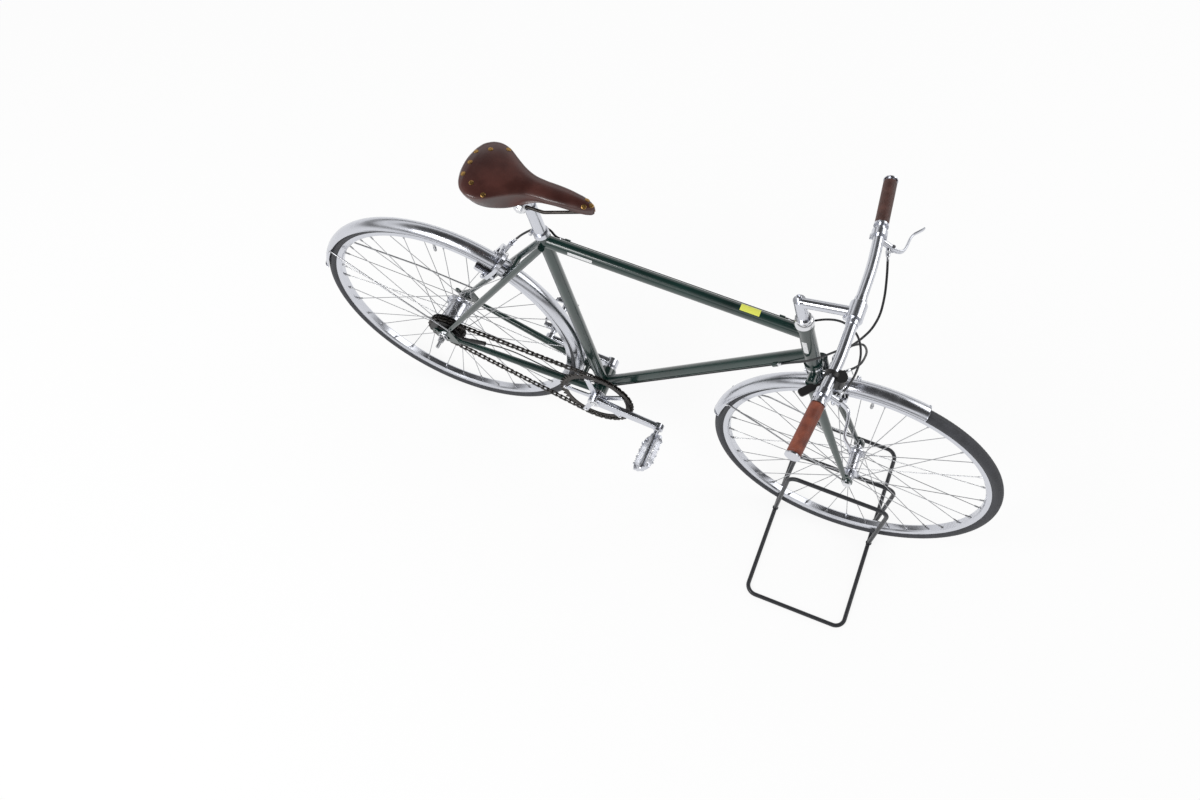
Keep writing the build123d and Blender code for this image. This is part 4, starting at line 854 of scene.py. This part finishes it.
brake = {"bolt": 0.0055, "padRadius": 0.3095, "padAhead": 0.042, "halfLength": 0.0262, "halfHeight": 0.0063,
         "faceOut": 0.019, "armFront": 0.0462}


def makeBrakeTrim(name, axle, up, forward, boltUp, padAhead, body):
    # metal shoes round the rubber blocks, their bolts with domed nuts, the pivot's nut and the return spring
    padRadius = brake["padRadius"]
    turn = np.arcsin(padAhead / padRadius)
    middle = axle + up * (padRadius * np.cos(turn)) + forward * padAhead
    along = forward * np.cos(turn) - up * np.sin(turn)
    upright = np.cross(along, acrossLine)
    shapes = []
    for side in (1, -1):
        out = acrossLine * side
        face = middle + out * brake["faceOut"]
        lengthwise, across = oblong(28, 6)
        ring = ((brake["halfLength"] * lengthwise)[:, None] * along
                + (brake["halfHeight"] * across)[:, None] * upright)
        rows = [face + out * lift + ring * share for lift, share in
                ((0, 0), (0, 1), (0.0062, 1), (0.0075, 0.93), (0.0075, 0))]
        shapes.append((np.array(rows).reshape(-1, 3), gridFaces(5, 28)))
        shapes.append(lathe(face + out * 0.007, out, [(0, 0), (0.0033, 0), (0.0033, 0.012), (0, 0.012)], 14))
        shapes.append(hexNut(face + out * 0.0135, out, brake["bolt"], 0.004))
        shapes.append(boltHead(face + out * 0.0172, out, 0.0042, 0.003))
    pivot = axle + up * boltUp + forward * brake["armFront"]
    shapes.append(hexNut(pivot, forward, 0.0072, 0.005))
    dome = [(0, 0), (0.0052, 0), (0.005, 0.0022), (0.003, 0.004), (0, 0.0045)]
    shapes.append(lathe(pivot + forward * 0.005, forward, dome, 18))
    makePiece(name + "_shoes", together(*shapes), "polished_metal", body, crease=30)
    # spring: one wire from arm to arm round the back of the pivot
    aside = np.cross(up, forward)
    root = axle + up * boltUp + forward * 0.0255
    corners = [root + aside * x / 1000 + up * z / 1000 for x, z in
               ((30, -34), (27, -14), (16, 4), (6, 10), (-6, 10), (-16, 4), (-27, -14), (-30, -34))]
    makePiece(name + "_spring", tube(softPath(corners, 6), roundSection(0.0011, 8)), "steel", body)


makeBrakeTrim("front_brake", frontAxle, headUp, headForward, 0.366, brake["padAhead"] - forkRake, "steering")
makeBrakeTrim("rear_brake", rearAxle, stayUp, stayBack, 0.362, brake["padAhead"], "frame")
print("brakes trimmed")

guard = {"radius": 0.348, "drop": 0.014, "half": 0.020, "bead": 0.0013}


def makeGuardTrim(name, center, startAngle, endAngle, stayAngle, body):
    # rolled bead along each edge, closed round both ends, and clips that hold the stays
    angle = np.radians(np.linspace(startAngle, endAngle, 150))
    edge = guard["radius"] - guard["drop"] - 0.0002
    shapes = []
    for side in (1, -1):
        path = center + edge * np.stack((np.cos(angle), 0 * angle, np.sin(angle)), axis=-1)
        path[:, 1] = center[1] + side * (guard["half"] - 0.0006)
        shapes.append(tube(path, roundSection(guard["bead"], 8)))
    for end in (angle[0], angle[-1]):
        lean = np.radians(np.linspace(-88, 88, 25))
        reach = guard["radius"] - guard["drop"] * np.abs(lean / np.radians(88)) ** 2.2 - 0.0008
        across = guard["half"] * np.sin(lean) / np.sin(np.radians(88))
        path = np.stack((center[0] + reach * np.cos(end), center[1] + across,
                         center[2] + reach * np.sin(end)), axis=-1)
        shapes.append(tube(path, roundSection(0.0011, 8)))
    makePiece(name + "_edges", together(*shapes), "polished_metal", body)
    clips = []
    for side in (1, -1):
        turn = radians(stayAngle)
        place = center + np.array(((edge + 0.0017) * cos(turn), side * 0.0246, (edge + 0.0017) * sin(turn)))
        clips.append(boltHead(place, acrossLine * side, 0.0036, 0.0026, 0.0015))
    makePiece(name + "_clips", together(*clips), "chrome_metal", body)


makeGuardTrim("rear_guard", rearAxle, -10.9, 171.9, 157, "frame")
makeGuardTrim("front_guard", frontAxle, 75.6, 175.9, 162.7, "steering")
print("guards trimmed")


def makeFrontEndTrim():
    # stem's expander bolt, the pinch bolt under its clamp, and the headset's locknut with eight flats
    shapes = [boltHead(stemCorner + headUp * 0.0148, headUp, 0.0062, 0.0042, 0.0028)]
    below = barMiddle - np.array((0.0155, 0, 0.0115))
    boss = [(0, 0), (0.0052, 0), (0.0055, 0.001), (0.0055, 0.021), (0.0052, 0.022), (0, 0.022)]
    shapes.append(lathe(below - acrossLine * 0.011, acrossLine, boss, 20))
    shapes.append(boltHead(below + acrossLine * 0.011, acrossLine, 0.0045, 0.004, 0.002))
    shapes.append(hexNut(below - acrossLine * 0.011, -acrossLine, 0.0052, 0.004))
    for side in (1, -1):  # rounded cheeks of the bar clamp
        shapes.append(lathe(barMiddle + acrossLine * side * 0.0188, acrossLine * side, [
            (0.0128, 0), (0.0172, 0), (0.0166, 0.0012), (0.0128, 0.0014)], 36))
    makePiece("stem_bolts", together(*shapes), "polished_metal", "steering")
    nut = lathe(onSteering(0.5495), headUp, [(0.0128, 0), (0.0172, 0), (0.0178, 0.0008), (0.0178, 0.0052),
                                             (0.0172, 0.006), (0.0128, 0.006), (0.0128, 0)], 8)
    makePiece("headset_locknut", nut, "chrome_metal", "steering", crease=20)


makeFrontEndTrim()


def makeSeatTrim():
    # cradle clamp that holds the rails, and the collar's pinch bolt
    top = bracket + seatUp * ((0.928 - bracket[2]) / seatUp[2])
    shapes = []
    for side in (1, -1):
        shapes.append(lathe(top + acrossLine * side * 0.0295, acrossLine * side, [
            (0, 0), (0.0125, 0), (0.0135, 0.0015), (0.0135, 0.004), (0.012, 0.0055), (0, 0.0055)], 28))
        shapes.append(hexNut(top + acrossLine * side * 0.0348, acrossLine * side, 0.0075, 0.0048))
    collar = bracket + seatUp * 0.567
    ear = np.array((collar[0] - 0.018, 0.010, collar[2] - 0.004))
    shapes.append(boltHead(ear * (1, -1, 1), -acrossLine, 0.0042, 0.0042, 0.002))
    shapes.append(hexNut(ear, acrossLine, 0.0045, 0.0035))
    makePiece("seat_bolts", together(*shapes), "chrome_metal", "frame")


makeSeatTrim()

labels = {"proud": 0.00025, "wall": 0.0002}


def makeLabel(name, foot, axis, radius, low, high, fromTurn, toTurn, tone):
    # blank label: a patch of the tube's own cylinder, lifted off it by a hair, with a closed edge
    first = acrossLine
    second = np.cross(unit(axis), first)
    along, turn = np.meshgrid(np.linspace(low, high, 12), np.radians(np.linspace(fromTurn, toTurn, 16)),
                              indexing="ij")
    outer = radius + labels["proud"]
    around = np.sin(turn)[..., None] * first + np.cos(turn)[..., None] * second
    shape = [foot + along[..., None] * unit(axis) + r * around for r in (outer, outer - labels["wall"])]
    rows, columns = turn.shape
    upper = gridFaces(rows, columns, wrapColumns=False)
    lower = upper[:, ::-1] + rows * columns
    rim = np.concatenate((np.arange(columns), columns * np.arange(1, rows) + columns - 1,
                          (rows - 1) * columns + np.arange(columns - 2, -1, -1),
                          columns * np.arange(rows - 2, 0, -1)))
    after = np.roll(rim, -1)
    sides = np.stack((rim, after, after + rows * columns, rim + rows * columns), axis=-1)
    points = np.concatenate([grid.reshape(-1, 3) for grid in shape])
    makePiece(name, (points, np.concatenate((upper, lower, sides))), "frame_paint", "frame",
              finish=labelVinyl(name + "Vinyl", tone))


topFoot = spot(0.0, 0.0, topTubeHeight)
makeLabel("yellow_label", topFoot, (1, 0, 0), 0.014, 0.680, 0.722, -34, 36, "#d8dc5a")
makeLabel("white_label", topFoot, (1, 0, 0), 0.014, 0.306, 0.361, -92, -62, "#d9dadb")
makeLabel("head_label", steeringFoot, headUp, 0.017, 0.455, 0.492, -100, -62, "#d9dadb")
print("labels laid")


def makeStandTrim():
    # weld beads where each hoop's foot meets the base loop
    beads = []
    for ahead in (0.907, 1.160):
        for side in (1, -1):
            place = spot(ahead, side * 0.032, 0.0106)
            lean = np.arange(28) * 2 * np.pi / 28
            lump = 0.0062 + 0.0004 * np.sin(9 * lean)
            path = place + np.stack((lump * np.cos(lean), lump * np.sin(lean), 0.0 * lean - 0.0002), axis=-1)
            beads.append(tube(path, roundSection(0.0014, 8), closed=True))
    makePiece("stand_welds", together(*beads), "stand_coat", "steering")


makeStandTrim()

studio = {"floorSize": 40.0, "floorGlow": 0.88, "skyStrength": 0.62, "keyPower": 70.0, "fillPower": 26.0,
          "lens": 33.794, "cameraPlace": (0.30094, -1.24474, 2.74241),
          "cameraTurn": (0.4725179, -0.0302266, 0.3844213)}


def makeFloor():
    # seamless paper: white to the eye, with only a faint shadow under the bicycle
    bpy.ops.mesh.primitive_plane_add(size=studio["floorSize"], location=(0, 0, -0.0005))
    floor = bpy.context.object
    floor.name = "studioFloor"
    paper = bpy.data.materials.new("whitePaper")
    paper.use_nodes = True
    tree = paper.node_tree
    tree.nodes.clear()
    matt = addNode(paper, "ShaderNodeBsdfDiffuse", {"Color": (0.9, 0.9, 0.9, 1)})
    glow = addNode(paper, "ShaderNodeEmission", {"Color": (1, 1, 1, 1), "Strength": 1.0})
    rays = addNode(paper, "ShaderNodeLightPath")
    seen = addNode(paper, "ShaderNodeMath", {"operation": "MAXIMUM"},
                   {0: rays.outputs["Is Camera Ray"], 1: rays.outputs["Is Glossy Ray"]})
    seen = addNode(paper, "ShaderNodeMath", {"operation": "MAXIMUM"},
                   {0: seen.outputs[0], 1: rays.outputs["Is Transmission Ray"]})
    share = addNode(paper, "ShaderNodeMath", {"operation": "MULTIPLY", 1: studio["floorGlow"]},
                    {0: seen.outputs[0]})
    mixed = addNode(paper, "ShaderNodeMixShader", None,
                    {"Fac": share.outputs[0], 1: matt.outputs[0], 2: glow.outputs[0]})
    addNode(paper, "ShaderNodeOutputMaterial", None, {"Surface": mixed.outputs[0]})
    floor.data.materials.append(paper)


def makeSky():
    # white tent: plain white to the eye, with soft dark gaps between its panels for metal to mirror
    world = bpy.data.worlds.new("whiteTent")
    bpy.context.scene.world = world
    world.use_nodes = True
    tree = world.node_tree
    tree.nodes.clear()
    place = addNode(world, "ShaderNodeTexCoord")
    parts = addNode(world, "ShaderNodeSeparateXYZ", None, {"Vector": place.outputs["Generated"]})
    ramp = addNode(world, "ShaderNodeValToRGB", None, {"Fac": parts.outputs["Z"]})
    tones = [(0.0, 0.7), (0.1, 0.25), (0.24, 0.2), (0.34, 0.95), (0.56, 0.9), (0.68, 0.12), (0.9, 0.05)]
    setStops(ramp, [(height, (tone, tone, tone, 1)) for height, tone in tones])
    rays = addNode(world, "ShaderNodeLightPath")
    mirrored = addNode(world, "ShaderNodeBackground", {"Strength": 1.0}, {"Color": ramp.outputs["Color"]})
    lit = addNode(world, "ShaderNodeBackground", {"Color": (1, 1, 1, 1), "Strength": studio["skyStrength"]})
    white = addNode(world, "ShaderNodeBackground", {"Color": (1, 1, 1, 1), "Strength": 1.0})
    glossy = addNode(world, "ShaderNodeMixShader", None,
                     {"Fac": rays.outputs["Is Glossy Ray"], 1: lit.outputs[0], 2: mirrored.outputs[0]})
    seen = addNode(world, "ShaderNodeMixShader", None,
                   {"Fac": rays.outputs["Is Camera Ray"], 1: glossy.outputs[0], 2: white.outputs[0]})
    addNode(world, "ShaderNodeOutputWorld", None, {"Surface": seen.outputs[0]})


def addLamp(name, place, aim, width, power):
    # square soft box facing the point it aims at
    lamp = bpy.data.objects.new(name, bpy.data.lights.new(name, "AREA"))
    lamp.data.size = width
    lamp.data.energy = power
    lamp.location = place
    lamp.rotation_euler = (Vector(aim) - Vector(place)).to_track_quat("-Z", "Y").to_euler()
    bpy.context.scene.collection.objects.link(lamp)


def makeCamera():
    camera = bpy.data.objects.new("photographer", bpy.data.cameras.new("photographer"))
    camera.data.lens = studio["lens"]
    camera.data.sensor_width = 36.0
    camera.location = studio["cameraPlace"]
    camera.rotation_euler = studio["cameraTurn"]
    bpy.context.scene.collection.objects.link(camera)
    bpy.context.scene.camera = camera


makeCamera()
makeFloor()
makeSky()
addLamp("keyBox", (-1.6, -2.2, 3.2), (0.0, 0.0, 0.5), 1.6, studio["keyPower"])
addLamp("fillBox", (2.4, 1.8, 2.6), (0.0, 0.0, 0.5), 2.0, studio["fillPower"])
bpy.context.scene.view_settings.view_transform = "Standard"
print("studio set")
